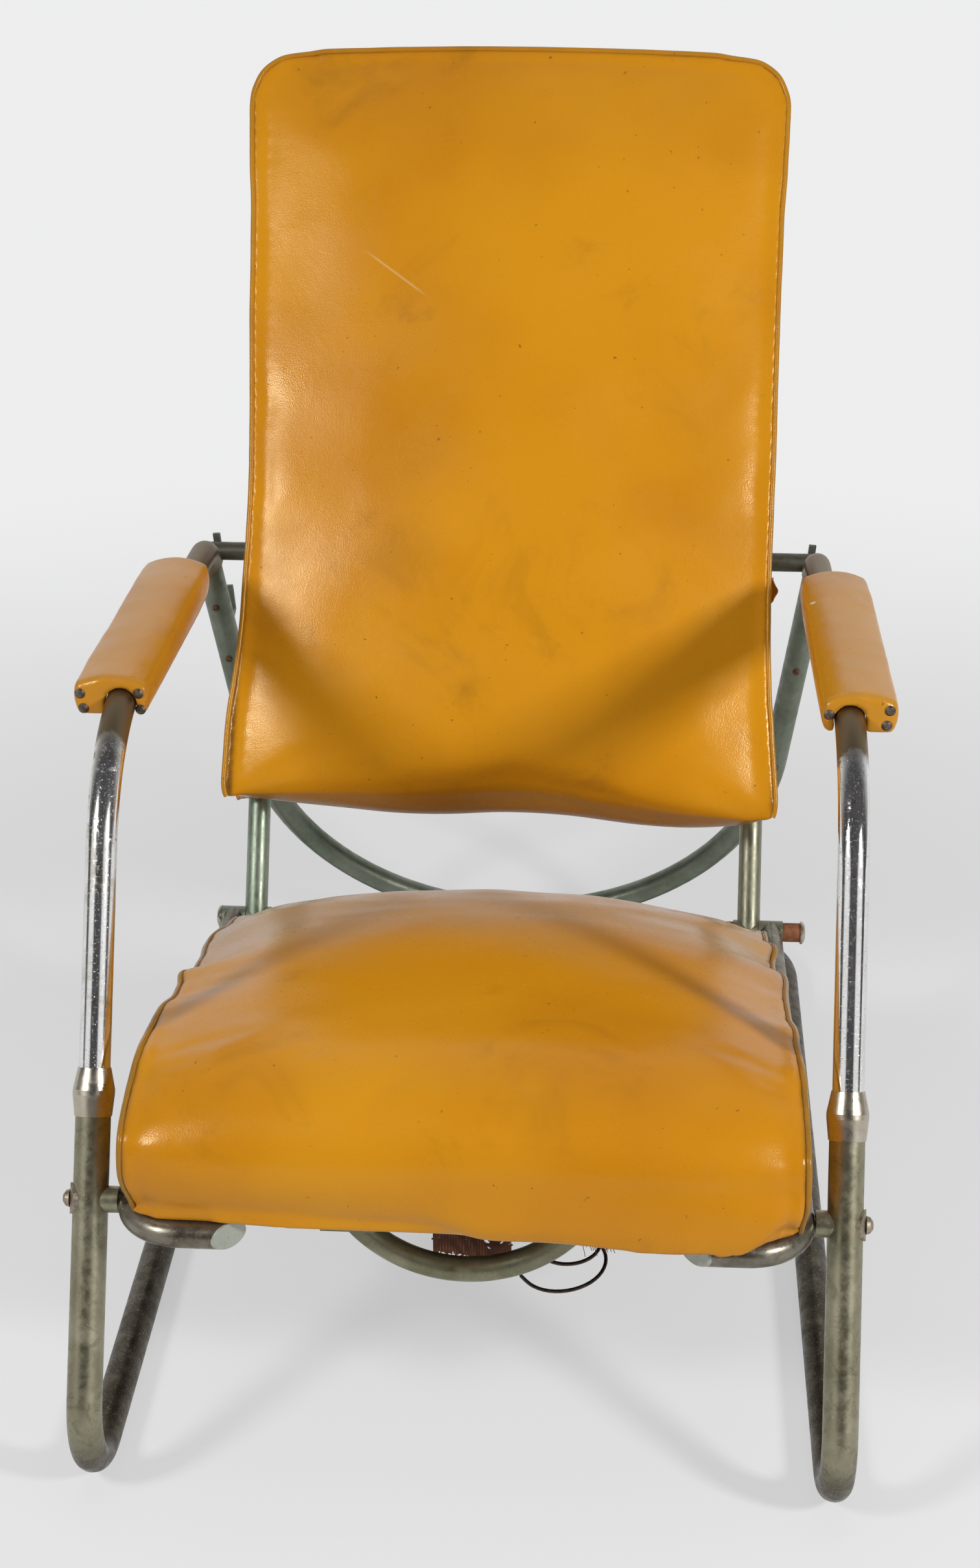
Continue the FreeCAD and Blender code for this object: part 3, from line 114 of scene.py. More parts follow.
def arcThrough(start, middle, end, steps):
    # points on the arc through three points of one plane
    a = middle - start
    b = end - start
    cross = a.cross(b)
    centre = start + (cross.cross(a) * b.length_squared + b.cross(cross) * a.length_squared) / (
        2 * cross.length_squared
    )
    first = start - centre
    axis = cross.normalized()
    turn = 2 * (math.pi - (start - middle).angle(end - middle))
    return [centre + Matrix.Rotation(turn * k / steps, 3, axis) @ first for k in range(steps + 1)]


def evenly(points, step):
    # the same line with points a fixed step apart
    found = [points[0].copy()]
    left = step
    for a, b in zip(points[:-1], points[1:]):
        gap = (b - a).length
        done = 0.0
        while gap - done >= left:
            done += left
            found.append(a.lerp(b, done / gap))
            left = step
        left -= gap - done
    return found


def cordTube(name, points, radius, sides=10, closed=False):
    # a round piping cord along a line of points
    curve = bpy.data.curves.new(name, "CURVE")
    curve.dimensions = "3D"
    curve.bevel_depth = radius
    curve.bevel_resolution = max(sides // 4, 1)
    curve.use_fill_caps = True
    spline = curve.splines.new("NURBS")
    spline.points.add(len(points) - 1)
    for slot, point in zip(spline.points, points):
        slot.co = (point.x, point.y, point.z, 1)
    spline.order_u = 3
    spline.use_endpoint_u = not closed
    spline.use_cyclic_u = closed
    spline.resolution_u = 2
    pick(placed(name, curve))
    bpy.ops.object.convert(target="MESH")
    cord = bpy.context.object
    cord.data.name = name
    bpy.ops.object.shade_smooth()
    return cord


stageSetup = {
    "lens": 36 * 3838 / 2420,
    "cameraAt": (0.1154, -2.0479, 1.4144),
    "cameraTurn": (90 - 25.93, 0, 3.34),
    "floorSize": 40.0,
    "nearFloor": (0.80, 0.795, 0.80),
    "farFloor": (0.85, 0.85, 0.855),
    "backdrop": (0.85, 0.85, 0.855),
    "room": (0.070, 0.070, 0.074),   # the dark studio behind the camera, as the metal shows it
    "skyTint": (0.93, 0.96, 1.0),
    "skyStrength": 0.14,
    "glowWays": ((-0.74, -0.62, 0.26), (0.74, -0.62, 0.26)),   # towards the softboxes' glow
    "glowSpan": (0.90, 0.985, 1.1),
    "backdropSpan": (-0.05, 0.85),
    "fadeReach": (0.6, 2.2),   # from the chair's middle, where the lit floor turns into the pale sweep
    "fadeLeast": 0.60,   # lifts the pale sweep under the chair, whose shadow stays
}

cameraData = bpy.data.cameras.new("photoCamera")
cameraData.sensor_fit = "VERTICAL"
cameraData.sensor_height = 36
cameraData.lens = stageSetup["lens"]
cameraData.dof.use_dof = False
photoCamera = placed("photoCamera", cameraData)
photoCamera.location = stageSetup["cameraAt"]
photoCamera.rotation_euler = [math.radians(a) for a in stageSetup["cameraTurn"]]
bpy.context.scene.camera = photoCamera
bpy.context.scene.view_settings.view_transform = "Standard"


def addNode(tree, kind, inputs=(), **settings):
    # a shader node with its settings, its constant inputs and its links
    node = tree.nodes.new("ShaderNode" + kind)
    for setting, value in settings.items():
        setattr(node, setting, value)
    for socket, value in dict(inputs).items():
        if isinstance(value, bpy.types.NodeSocket):
            tree.links.new(value, node.inputs[socket])
        else:
            node.inputs[socket].default_value = value
    return node


def seenMask(tree):
    # 1 for rays from the eye, off metal or through glass
    path = addNode(tree, "LightPath").outputs
    first = addNode(tree, "Math", {0: path["Is Camera Ray"], 1: path["Is Glossy Ray"]}, operation="MAXIMUM")
    either = {0: first.outputs[0], 1: path["Is Transmission Ray"]}
    return addNode(tree, "Math", either, operation="MAXIMUM").outputs[0]


studioWorld = bpy.data.worlds.new("studioWorld")
studioWorld.use_nodes = True
bpy.context.scene.world = studioWorld
worldTree = studioWorld.node_tree
worldTree.nodes.clear()

# metal shows the backdrop behind the chair, the dark room in front of it and the glow round each softbox
worldLook = addNode(worldTree, "TexCoord").outputs["Generated"]
worldEye = addNode(worldTree, "LightPath").outputs["Is Camera Ray"]


def worldFacing(direction, low, high, top=1.0):
    # how far a ray looks towards one side of the studio
    way = {0: worldLook, 1: Vector(direction).normalized()}
    facing = addNode(worldTree, "VectorMath", way, operation="DOT_PRODUCT").outputs["Value"]
    limits = {"Value": facing, "From Min": low, "From Max": high, "To Max": top}
    return addNode(worldTree, "MapRange", limits, interpolation_type="SMOOTHSTEP").outputs["Result"]


def worldSum(a, b, how="ADD"):
    return addNode(worldTree, "Math", {0: a, 1: b}, operation=how).outputs[0]


worldGlow = worldSum(*(worldFacing(way, *stageSetup["glowSpan"]) for way in stageSetup["glowWays"]))
worldBright = worldSum(worldFacing((0, 1, 0), *stageSetup["backdropSpan"]), worldGlow)
worldShown = worldSum(worldBright, worldEye, "MAXIMUM")
worldTones = {"Factor": worldShown, 6: (*stageSetup["room"], 1), 7: (*stageSetup["backdrop"], 1)}
worldTone = addNode(worldTree, "Mix", worldTones, data_type="RGBA").outputs[2]
worldLight = addNode(
    worldTree, "Background", {"Color": (*stageSetup["skyTint"], 1), "Strength": stageSetup["skyStrength"]}
)
worldSeen = addNode(worldTree, "Background", {"Color": worldTone, "Strength": 1.0})
worldParts = {0: seenMask(worldTree), 1: worldLight.outputs[0], 2: worldSeen.outputs[0]}
addNode(worldTree, "OutputWorld", {0: addNode(worldTree, "MixShader", worldParts).outputs[0]})

dropSelection()
bpy.ops.mesh.primitive_plane_add(size=stageSetup["floorSize"], location=(0, 8, 0))
studioFloor = bpy.context.object
studioFloor.name = "studioFloor"
floorPaint = bpy.data.materials.new("floorPaint")
floorPaint.use_nodes = True
floorTree = floorPaint.node_tree
floorTree.nodes.clear()
floorPlace = addNode(floorTree, "NewGeometry").outputs["Position"]
floorReach = addNode(floorTree, "VectorMath", {0: floorPlace}, operation="LENGTH").outputs["Value"]
fadeFrom, fadeTo = stageSetup["fadeReach"]
floorLimits = {"Value": floorReach, "From Min": fadeFrom, "From Max": fadeTo, "To Min": stageSetup["fadeLeast"]}
floorFade = addNode(floorTree, "MapRange", floorLimits, interpolation_type="SMOOTHSTEP").outputs["Result"]
floorSeen = addNode(floorTree, "Math", {0: floorFade, 1: seenMask(floorTree)}, operation="MULTIPLY")
floorMatt = addNode(floorTree, "BsdfDiffuse", {"Color": (*stageSetup["nearFloor"], 1)})
floorGlow = addNode(floorTree, "Emission", {"Color": (*stageSetup["farFloor"], 1)})
floorParts = {0: floorSeen.outputs[0], 1: floorMatt.outputs[0], 2: floorGlow.outputs[0]}
addNode(floorTree, "OutputMaterial", {0: addNode(floorTree, "MixShader", floorParts).outputs[0]})
studioFloor.data.materials.append(floorPaint)

lampPlan = {
    # name: place, where it points, width, height, watts
    "leftSoftbox": ((-1.9, -1.75, 2.1), (0, 0.0, 0.5), 0.45, 0.65, 42),
    "rightSoftbox": ((2.25, -1.75, 1.85), (0, 0.0, 0.5), 0.36, 0.52, 60),
    "topBank": ((0.0, 0.3, 3.3), (0, 0.2, 0.0), 2.6, 2.2, 15),
}
for lampName, (place, target, width, height, watts) in lampPlan.items():
    lampData = bpy.data.lights.new(lampName, "AREA")
    lampData.shape = "RECTANGLE"
    lampData.size = width
    lampData.size_y = height
    lampData.energy = watts
    lamp = placed(lampName, lampData)
    lamp.location = place
    lamp.visible_glossy = lampName != "topBank"
    lamp.rotation_euler = (Vector(target) - Vector(place)).to_track_quat("-Z", "Y").to_euler()
print("stage, camera and lamps set")


class Finish:
    # one material under construction: a shader and the nodes that feed it
    def __init__(self, name, **settings):
        self.material = bpy.data.materials.new(name)
        self.material.use_nodes = True
        self.tree = self.material.node_tree
        self.tree.nodes.clear()
        self.shader = self.add("BsdfPrincipled", {k.replace("_", " "): value for k, value in settings.items()})
        self.add("OutputMaterial", {0: self.shader.outputs[0]})
        self.place = self.add("TexCoord").outputs["Object"]

    def add(self, kind, inputs=(), **settings):
        return addNode(self.tree, kind, inputs, **settings)

    def stretched(self, scale):
        return self.add("Mapping", {"Vector": self.place, "Scale": scale}).outputs["Vector"]

    def clouds(self, scale, detail=4.0, roughness=0.5, distortion=0.0, along=None):
        inputs = {"Scale": scale, "Detail": detail, "Roughness": roughness, "Distortion": distortion}
        return self.add("TexNoise", {"Vector": along or self.place, **inputs}).outputs["Fac"]

    def cells(self, scale):
        return self.add("TexVoronoi", {"Vector": self.place, "Scale": scale}).outputs["Distance"]

    def step(self, value, low, high, bottom=0.0, top=1.0):
        limits = {"Value": value, "From Min": low, "From Max": high, "To Min": bottom, "To Max": top}
        return self.add("MapRange", limits, interpolation_type="SMOOTHSTEP").outputs["Result"]

    def sums(self, a, b, how="MULTIPLY"):
        return self.add("Math", {0: a, 1: b}, operation=how, use_clamp=how != "SUBTRACT").outputs[0]

    def blend(self, share, a, b):
        a, b = ((*tone, 1) if isinstance(tone, tuple) else tone for tone in (a, b))
        return self.add("Mix", {"Factor": share, 6: a, 7: b}, data_type="RGBA").outputs[2]

    def axis(self, name):
        return self.add("SeparateXYZ", {0: self.place}).outputs[name]

    def mark(self, name):
        return self.add("Attribute", attribute_name=name).outputs["Fac"]

    def measured(self, how, point):
        # the place's distance from a point, or how far it lies along a direction
        return self.add("VectorMath", {0: self.place, 1: point}, operation=how).outputs["Value"]

    def spot(self, centre, radius, soft=0.5):
        # 1 inside a small ball, for chips and cuts in a known place
        return self.step(self.measured("DISTANCE", centre), radius * (1 - soft), radius, 1.0, 0.0)

    def scratch(self, start, end, width):
        # 0 to 0.5 along a straight rubbed line
        start, end = Vector(start), Vector(end)
        direction = (end - start).normalized()
        across = direction.cross(Vector((0, 1, 0))).normalized()
        along, aside = self.measured("DOT_PRODUCT", direction), self.measured("DOT_PRODUCT", across)
        first, last, middle = start.dot(direction), end.dot(direction), start.dot(across)
        begins = self.step(along, first, first + 0.3 * (last - first), 0, 0.5)
        stops = self.step(along, last - 0.3 * (last - first), last, 1.0, 0.0)
        near = self.step(aside, middle - width, middle, 0.0, 1.0)
        beyond = self.step(aside, middle, middle + width, 1.0, 0.0)
        return self.sums(self.sums(begins, stops), self.sums(near, beyond))

    def relief(self, height, depth, strength=1.0, under=None):
        inputs = {"Strength": strength, "Distance": depth, "Height": height}
        if under is not None:
            inputs["Normal"] = under
        return self.add("Bump", inputs).outputs["Normal"]

    def join(self, value, socket):
        self.tree.links.new(value, self.shader.inputs[socket])

    def colour(self, value):
        self.join(value, "Base Color")

    def gloss(self, value):
        self.join(value, "Roughness")

    def surface(self, value):
        self.join(value, "Normal")


vinylLook = {
    "amber": (0.645, 0.272, 0.0075),
    "deepAmber": (0.545, 0.208, 0.0055),
    "smudge": (0.30, 0.125, 0.010),
    "tan": (0.50, 0.27, 0.085),
    # pale dust, which also paints the sheen on the pad tops and the pale reflection at the seat's rear
    "dustAndSheen": (0.50, 0.36, 0.215),
    "padBrown": (0.43, 0.205, 0.034),
    "pipingOlive": (0.33, 0.165, 0.022),
    # dirt and painted shade
    "grimeAndShade": (0.085, 0.036, 0.009),
    "speck": (0.12, 0.055, 0.02),
    "cut": (0.06, 0.03, 0.012),
    "rub": (0.72, 0.50, 0.22),
    "chip": (0.80, 0.72, 0.55),
}


def amberVinyl(name, dustAndSheen=0.0, worn=None, wornShare=0.0, chips=(), cuts=(), scratches=()):
    finish = Finish(name, Specular_IOR_Level=0.38, Specular_Tint=(1.0, 0.86, 0.58, 1.0))
    wide = finish.clouds(3.2, 3, 0.5)
    colour = finish.blend(finish.step(wide, 0.38, 0.66), vinylLook["amber"], vinylLook["deepAmber"])
    smudge = finish.step(finish.clouds(8.5, 8, 0.62, 0.7), 0.56, 0.78, 0, 0.45)
    colour = finish.blend(smudge, colour, vinylLook["smudge"])
    rub = finish.step(finish.clouds(21.0, 7, 0.65, 0.3), 0.62, 0.82, 0, 0.22)
    colour = finish.blend(rub, colour, vinylLook["tan"])
    if worn:
        patchy = finish.step(finish.clouds(30.0, 6, 0.6), 0.3, 0.7, wornShare * 0.6, wornShare)
        colour = finish.blend(patchy, colour, vinylLook[worn])
    if dustAndSheen:
        # where the mark is set: pale dust and painted sheen
        dustAndSheenMark = finish.mark("dustAndSheen")
        patchy = finish.step(finish.clouds(16.0, 8, 0.7), 0.30, 0.70, 0.60, 1.0)
        colour = finish.blend(finish.sums(finish.sums(dustAndSheenMark, patchy), dustAndSheen), colour, vinylLook["dustAndSheen"])
    specks = finish.step(finish.clouds(170.0, 2, 0.5), 0.745, 0.765, 0, 0.6)
    colour = finish.blend(specks, colour, vinylLook["speck"])
    # darker by the mark: dirt and painted shade in seam grooves, on the back's top and under the pads
    colour = finish.blend(finish.step(finish.mark("grimeAndShade"), 0.0, 1.0, 0, 0.86), colour, vinylLook["grimeAndShade"])
    for start, end, width in scratches:
        colour = finish.blend(finish.scratch(start, end, width), colour, vinylLook["rub"])
    for tone, places in (("chip", chips), ("cut", cuts)):
        for centre, radius in places:
            colour = finish.blend(finish.spot(centre, radius), colour, vinylLook[tone])
    finish.colour(colour)
    finish.gloss(finish.step(finish.clouds(11.0, 7, 0.6), 0.3, 0.75, 0.22, 0.35))
    grain = finish.relief(finish.cells(720.0), 0.00022, 0.30)
    creases = finish.relief(finish.clouds(62.0, 6, 0.6, 1.2), 0.0011, 0.10, grain)
    finish.surface(finish.relief(finish.clouds(13.0, 4, 0.5, 0.6), 0.004, 0.12, creases))
    return finish.material


def wornPlate(
    name, bright, dull, bloom, speckle, amounts, gloss=(0.26, 0.52), metal=0.85, stain=None, side=None
):
    # old plating: bright metal under a dull film, with blooms of corrosion and fine specks
    finish = Finish(name, Metallic=metal)
    film = finish.step(finish.clouds(17.0, 9, 0.62, 0.4), 0.30, 0.70)
    colour = finish.blend(finish.sums(film, amounts[0]), bright, dull)
    blooming = finish.step(finish.clouds(55.0, 9, 0.70, 0.8), 0.50, 0.66)
    colour = finish.blend(finish.sums(blooming, amounts[1]), colour, bloom)
    if side:
        # one side of the chair has weathered to another tone
        colour = finish.blend(finish.step(finish.axis("X"), -0.1, 0.1, 0, side[1]), colour, side[0])
    if stain:
        # dark brown dirt and a painted dark reflection up to a height above the floor
        tone, low, high, share = stain
        patchy = finish.step(finish.clouds(40.0, 8, 0.7), 0.25, 0.6, 0.6, 1.0)
        lowDirtAndDarkReflection = finish.step(finish.axis("Z"), low, high, share, 0.0)
        colour = finish.blend(finish.sums(lowDirtAndDarkReflection, patchy), colour, tone)
    dots = finish.step(finish.clouds(620.0, 3, 0.6), 0.58, 0.70)
    colour = finish.blend(finish.sums(dots, amounts[2]), colour, speckle)
    finish.colour(colour)
    finish.gloss(finish.step(finish.clouds(90.0, 6, 0.65), 0.3, 0.7, *gloss))
    pits = finish.relief(finish.clouds(900.0, 3, 0.6), 0.00012, 0.5)
    finish.surface(finish.relief(finish.clouds(210.0, 5, 0.6), 0.0002, 0.35, pits))
    return finish.material


def rustySteel(name, base, deep, pale, gloss=(0.55, 0.85), metal=0.35):
    finish = Finish(name, Metallic=metal)
    colour = finish.blend(finish.step(finish.clouds(130.0, 8, 0.7), 0.35, 0.65), base, deep)
    colour = finish.blend(finish.step(finish.clouds(60.0, 6, 0.7), 0.58, 0.72, 0, 0.7), colour, pale)
    finish.colour(colour)
    finish.gloss(finish.step(finish.clouds(200.0, 5, 0.6), 0.3, 0.7, *gloss))
    finish.surface(finish.relief(finish.clouds(700.0, 6, 0.7), 0.0003, 0.7))
    return finish.material


chromeLook = {
    "bright": (0.80, 0.80, 0.79),
    "lifted": (0.205, 0.155, 0.092),   # the brown metal under the chrome
    "pit": (0.13, 0.10, 0.07),
    "stain": (0.42, 0.40, 0.30),
    "bareFrom": -0.236,   # bare from here back to the pad
    "bareTo": -0.222,
}


def pittedChrome(name, flaking, staining, gloss):
    # mirror chrome that has lifted and pitted, most of all near the pads
    finish = Finish(name, Metallic=1.0)
    edge = finish.sums(finish.clouds(60.0, 4, 0.6, 1.0), 0.03)
    shifted = finish.add("Math", {0: finish.axis("Y"), 1: edge}, operation="ADD").outputs[0]
    bare = finish.step(shifted, chromeLook["bareFrom"] + 0.015, chromeLook["bareTo"] + 0.015)
    flakes = finish.step(finish.clouds(75.0, 9, 0.72, 0.6), 0.56, 0.64)
    high = finish.step(finish.axis("Z"), 0.40, 0.55, 0.04, flaking)
    flakes = finish.sums(finish.sums(flakes, high), bare, "MAXIMUM")
    pits = finish.sums(finish.step(finish.clouds(800.0, 3, 0.6), 0.62, 0.68), 0.7)
    cloudy = finish.step(finish.clouds(24.0, 8, 0.65, 0.5), 0.42, 0.70, 0, staining)
    colour = finish.blend(cloudy, chromeLook["bright"], chromeLook["stain"])
    colour = finish.blend(flakes, colour, chromeLook["lifted"])
    colour = finish.blend(pits, colour, chromeLook["pit"])
    finish.colour(colour)
    worn = finish.sums(finish.sums(flakes, pits, "ADD"), finish.sums(cloudy, 0.4), "ADD")
    finish.gloss(finish.step(worn, 0.0, 1.0, *gloss))
    finish.surface(finish.relief(finish.sums(flakes, pits, "ADD"), 0.00015, 0.5))
    return finish.material


platePlan = {
    # name: bright, dull, bloom, speckle, amounts of each, roughness, metal, stain (dirt and painted dark
    # reflection near the floor), weathered side
    "ferruleNickel": (
        (0.56, 0.51, 0.42), (0.36, 0.31, 0.22), (0.27, 0.20, 0.115), (0.13, 0.095, 0.055),
        (0.45, 0.25, 0.25), (0.24, 0.40), 1.0,
    ),
    "basePlate": (
        (0.34, 0.32, 0.225), (0.19, 0.175, 0.105), (0.12, 0.105, 0.062), (0.44, 0.42, 0.32),
        (0.85, 0.55, 0.45), (0.26, 0.50), 0.85, ((0.040, 0.028, 0.020), 0.030, 0.085, 0.94),
    ),
    "loopPlate": (
        (0.225, 0.245, 0.19), (0.125, 0.15, 0.105), (0.19, 0.245, 0.185), (0.085, 0.085, 0.06),
        (0.9, 0.55, 0.45), (0.30, 0.56), 0.75,
    ),
    "bowPlate": (
        (0.29, 0.275, 0.185), (0.145, 0.138, 0.075), (0.20, 0.235, 0.155), (0.08, 0.07, 0.045),
        (0.9, 0.55, 0.5), (0.30, 0.56), 0.75,
    ),
    "postPlate": (
        (0.32, 0.36, 0.28), (0.19, 0.235, 0.17), (0.28, 0.37, 0.29), (0.12, 0.11, 0.075),
        (0.8, 0.5, 0.45), (0.28, 0.50), 0.8, None, ((0.25, 0.228, 0.155), 0.75),
    ),
    "railPlate": (
        (0.27, 0.25, 0.20), (0.125, 0.105, 0.075), (0.085, 0.062, 0.042), (0.42, 0.40, 0.34),
        (0.85, 0.6, 0.4), (0.24, 0.46),
    ),
    "capPlate": (
        (0.46, 0.48, 0.42), (0.36, 0.39, 0.33), (0.27, 0.31, 0.25), (0.14, 0.13, 0.09),
        (0.6, 0.4, 0.4), (0.40, 0.60), 0.5,
    ),
    "barPlate": (
        (0.17, 0.17, 0.13), (0.095, 0.095, 0.07), (0.13, 0.07, 0.04), (0.05, 0.04, 0.03),
        (0.8, 0.6, 0.5), (0.34, 0.60), 0.6,
    ),
    "stripPlate": (
        (0.20, 0.215, 0.17), (0.12, 0.13, 0.10), (0.24, 0.30, 0.25), (0.07, 0.055, 0.04),
        (0.8, 0.5, 0.5), (0.40, 0.65), 0.5,
    ),
}
rustPlan = {
    # name: base, deep, pale, roughness, metal
    "screwRust": ((0.20, 0.11, 0.065), (0.10, 0.055, 0.035), (0.30, 0.17, 0.10)),
    "nailRust": ((0.17, 0.125, 0.095), (0.075, 0.055, 0.045), (0.28, 0.24, 0.20), (0.32, 0.6), 0.7),
    "rodRust": ((0.33, 0.125, 0.05), (0.17, 0.06, 0.028), (0.42, 0.20, 0.10)),
    "boltPlate": ((0.40, 0.36, 0.28), (0.22, 0.16, 0.10), (0.52, 0.49, 0.41), (0.3, 0.6), 0.8),
    "strapDark": ((0.11, 0.08, 0.06), (0.055, 0.042, 0.034), (0.18, 0.13, 0.10), (0.45, 0.7), 0.6),
    "wireDark": ((0.085, 0.062, 0.05), (0.035, 0.028, 0.024), (0.19, 0.11, 0.07), (0.30, 0.5), 0.7),
}
finishes = {
    "armChromeLeft": pittedChrome("armChromeLeft", 0.8, 0.75, (0.13, 0.45)),
    "armChromeRight": pittedChrome("armChromeRight", 0.35, 0.25, (0.07, 0.42)),
}
for finishName, look in platePlan.items():
    finishes[finishName] = wornPlate(finishName, *look)
for finishName, look in rustPlan.items():
    finishes[finishName] = rustySteel(finishName, *look)


def rawBoard():
    finish = Finish("rawBoard", Roughness=0.78)
    rings = finish.clouds(14.0, 5, 0.6, 1.5, finish.stretched((9, 0.7, 9)))
    colour = finish.blend(finish.step(rings, 0.35, 0.65), (0.40, 0.25, 0.12), (0.24, 0.135, 0.06))
    finish.colour(colour)
    finish.surface(finish.relief(rings, 0.0006, 0.5))
    return finish.material


finishes["rawBoard"] = rawBoard()

nodeFinish = {
    "armChromeLeft": ["arm_tube_left"],
    "armChromeRight": ["arm_tube_right"],
    "ferruleNickel": ["ferrule_left", "ferrule_right", "rod_caps"],
    "basePlate": ["base_tube", "spacer_tubes"],
    "loopPlate": ["rear_loop"],
    "bowPlate": ["front_bow"],
    "postPlate": [
        "back_post_frame", "back_sleeve_left", "back_sleeve_right", "hinge_sleeve_left", "hinge_sleeve_right",
    ],
    "railPlate": ["seat_rail_left", "seat_rail_right"],
    "capPlate": ["rail_end_caps", "front_cross_strip"],
    "barPlate": ["cross_bar", "bar_end_plugs"],
    "stripPlate": ["notched_strip_left", "notched_strip_right"],
    "screwRust": ["leg_screws", "bow_rivets", "back_bands", "band_rivets"],
    "nailRust": ["armrest_nails"],
    "rodRust": ["hinge_rod"],
    "boltPlate": ["front_bolts", "saddle_washers", "front_nuts"],
    "strapDark": ["spring_strap_1", "spring_strap_2"],
    "wireDark": ["seat_springs_row_1", "seat_springs_row_2"],
    "rawBoard": ["armrest_board_left", "armrest_board_right"],
}
for finishName, names in nodeFinish.items():
    for nodeName in names:
        node = cadNodes[nodeName]
        if not node.material_slots:
            node.data.materials.append(None)
        for materialSlot in node.material_slots:
            materialSlot.material = finishes[finishName]
print("finishes on", sum(len(names) for names in nodeFinish.values()), "nodes")


def paddedForm(nodeName, pieceName, voxel):
    # a closed, even mesh in the shape of the solid
    mesh = cadNodes[nodeName].data.copy()
    mesh.name = pieceName
    mesh.materials.clear()
    piece = placed(pieceName, mesh)
    pick(piece)
    bpy.ops.object.mode_set(mode="EDIT")
    bpy.ops.mesh.select_all(action="SELECT")
    bpy.ops.mesh.remove_doubles(threshold=0.00002)
    bpy.ops.object.mode_set(mode="OBJECT")
    remesh = piece.modifiers.new("evenMesh", "REMESH")
    remesh.mode = "VOXEL"
    remesh.voxel_size = voxel
    relax = piece.modifiers.new("relax", "SMOOTH")
    relax.factor = 0.5
    relax.iterations = 4
    applyAll(piece)
    return piece


coverCloth = {
    "quality": 5,
    "mass": 0.4,
    "tension_stiffness": 18,
    "compression_stiffness": 18,
    "shear_stiffness": 8,
    "bending_stiffness": 0.6,
    "use_pressure": True,
    "vertex_group_mass": "held",
    "pin_stiffness": 1.0,
}
coverFill = {"pressure": 4.0, "frames": 20, "leastHeld": 0.02, "easing": 0.5, "easingRounds": 7}


def inflate(piece, heldWeight, shrink, cap):
    # the cover is drawn in a little, then air pressure fills it between its held seams
    mesh = piece.data
    rest = [v.co.copy() for v in mesh.vertices]
    normals = [v.normal.copy() for v in mesh.vertices]
    weights = [heldWeight(co) for co in rest]
    start = [co - normal * shrink * (1 - held) for co, normal, held in zip(rest, normals, weights)]
    mesh.vertices.foreach_set("co", [number for co in start for number in co])
    mesh.update()
    group = piece.vertex_groups.new(name="held")
    for number, held in enumerate(weights):
        if held > coverFill["leastHeld"]:
            group.add([number], held, "REPLACE")
    cloth = piece.modifiers.new("cover", "CLOTH")
    for setting, value in coverCloth.items():
        setattr(cloth.settings, setting, value)
    cloth.settings.uniform_pressure_force = coverFill["pressure"]
    cloth.settings.effector_weights.gravity = 0
    cloth.point_cache.frame_start = 1
    cloth.point_cache.frame_end = coverFill["frames"]
    for number in range(1, coverFill["frames"] + 1):
        bpy.context.scene.frame_set(number)
    applyAll(piece)
    bpy.context.scene.frame_set(1)
    piece.vertex_groups.clear()
    most = 0.0
    filled = []
    for vertex, co in zip(piece.data.vertices, start):
        step = vertex.co - co
        most = max(most, step.length)
        filled.append(co + step * (cap * math.tanh(step.length / cap) / max(step.length, 1e-9)))
    piece.data.vertices.foreach_set("co", [number for co in filled for number in co])
    piece.data.update()
    group = piece.vertex_groups.new(name="open")
    for number, held in enumerate(weights):
        group.add([number], 1 - held, "REPLACE")
    ease = piece.modifiers.new("ease", "SMOOTH")
    ease.factor = coverFill["easing"]
    ease.iterations = coverFill["easingRounds"]
    ease.vertex_group = "open"
    applyAll(piece)
    piece.vertex_groups.clear()
    print(piece.name, "filled, longest travel %.1f mm" % (most * 1000))


def nudge(piece, rule):
    # shaping: each point moves by rule(place, normal)
    mesh = piece.data
    places = [v.co.copy() for v in mesh.vertices]
    normals = [v.normal.copy() for v in mesh.vertices]
    moved = [co + rule(co, normal) for co, normal in zip(places, normals)]
    mesh.vertices.foreach_set("co", [number for co in moved for number in co])
    mesh.update()


def finishPadding(piece, material, levels):
    pick(piece)
    if levels:
        rounder = piece.modifiers.new("rounder", "SUBSURF")
        rounder.levels = levels
        rounder.render_levels = levels
        applyAll(piece)
    bpy.ops.object.shade_smooth()
    piece.data.materials.append(material)


def setMark(piece, name, rule):
    layer = piece.data.attributes.new(name, "FLOAT", "POINT")
    layer.data.foreach_set("value", [rule(v.co) for v in piece.data.vertices])


print("padding,", "full")

# Back cushion: a boxed panel with piping round the front edge, open at the foot where the cover turns under
backPlan = {
    "halfWidth": 0.2635,
    "low": 0.114,
    "high": 0.8485,
    "corner": 0.050,
    "waist": 0.007,   # how far the sides draw in half way up
    "frontSeam": 0.0779,   # ahead of the rear panel
    "rearSeam": 0.005,
    "voxel": 0.0065,
    "shrink": 0.010,
    "cap": 0.022,
    "pipingRadius": 0.0026,
}
backIn = backFrame.inverted()
backCushion = paddedForm("back_cushion", "backCushion", backPlan["voxel"])
backRear = max((backIn @ v.co).y for v in backCushion.data.vertices)


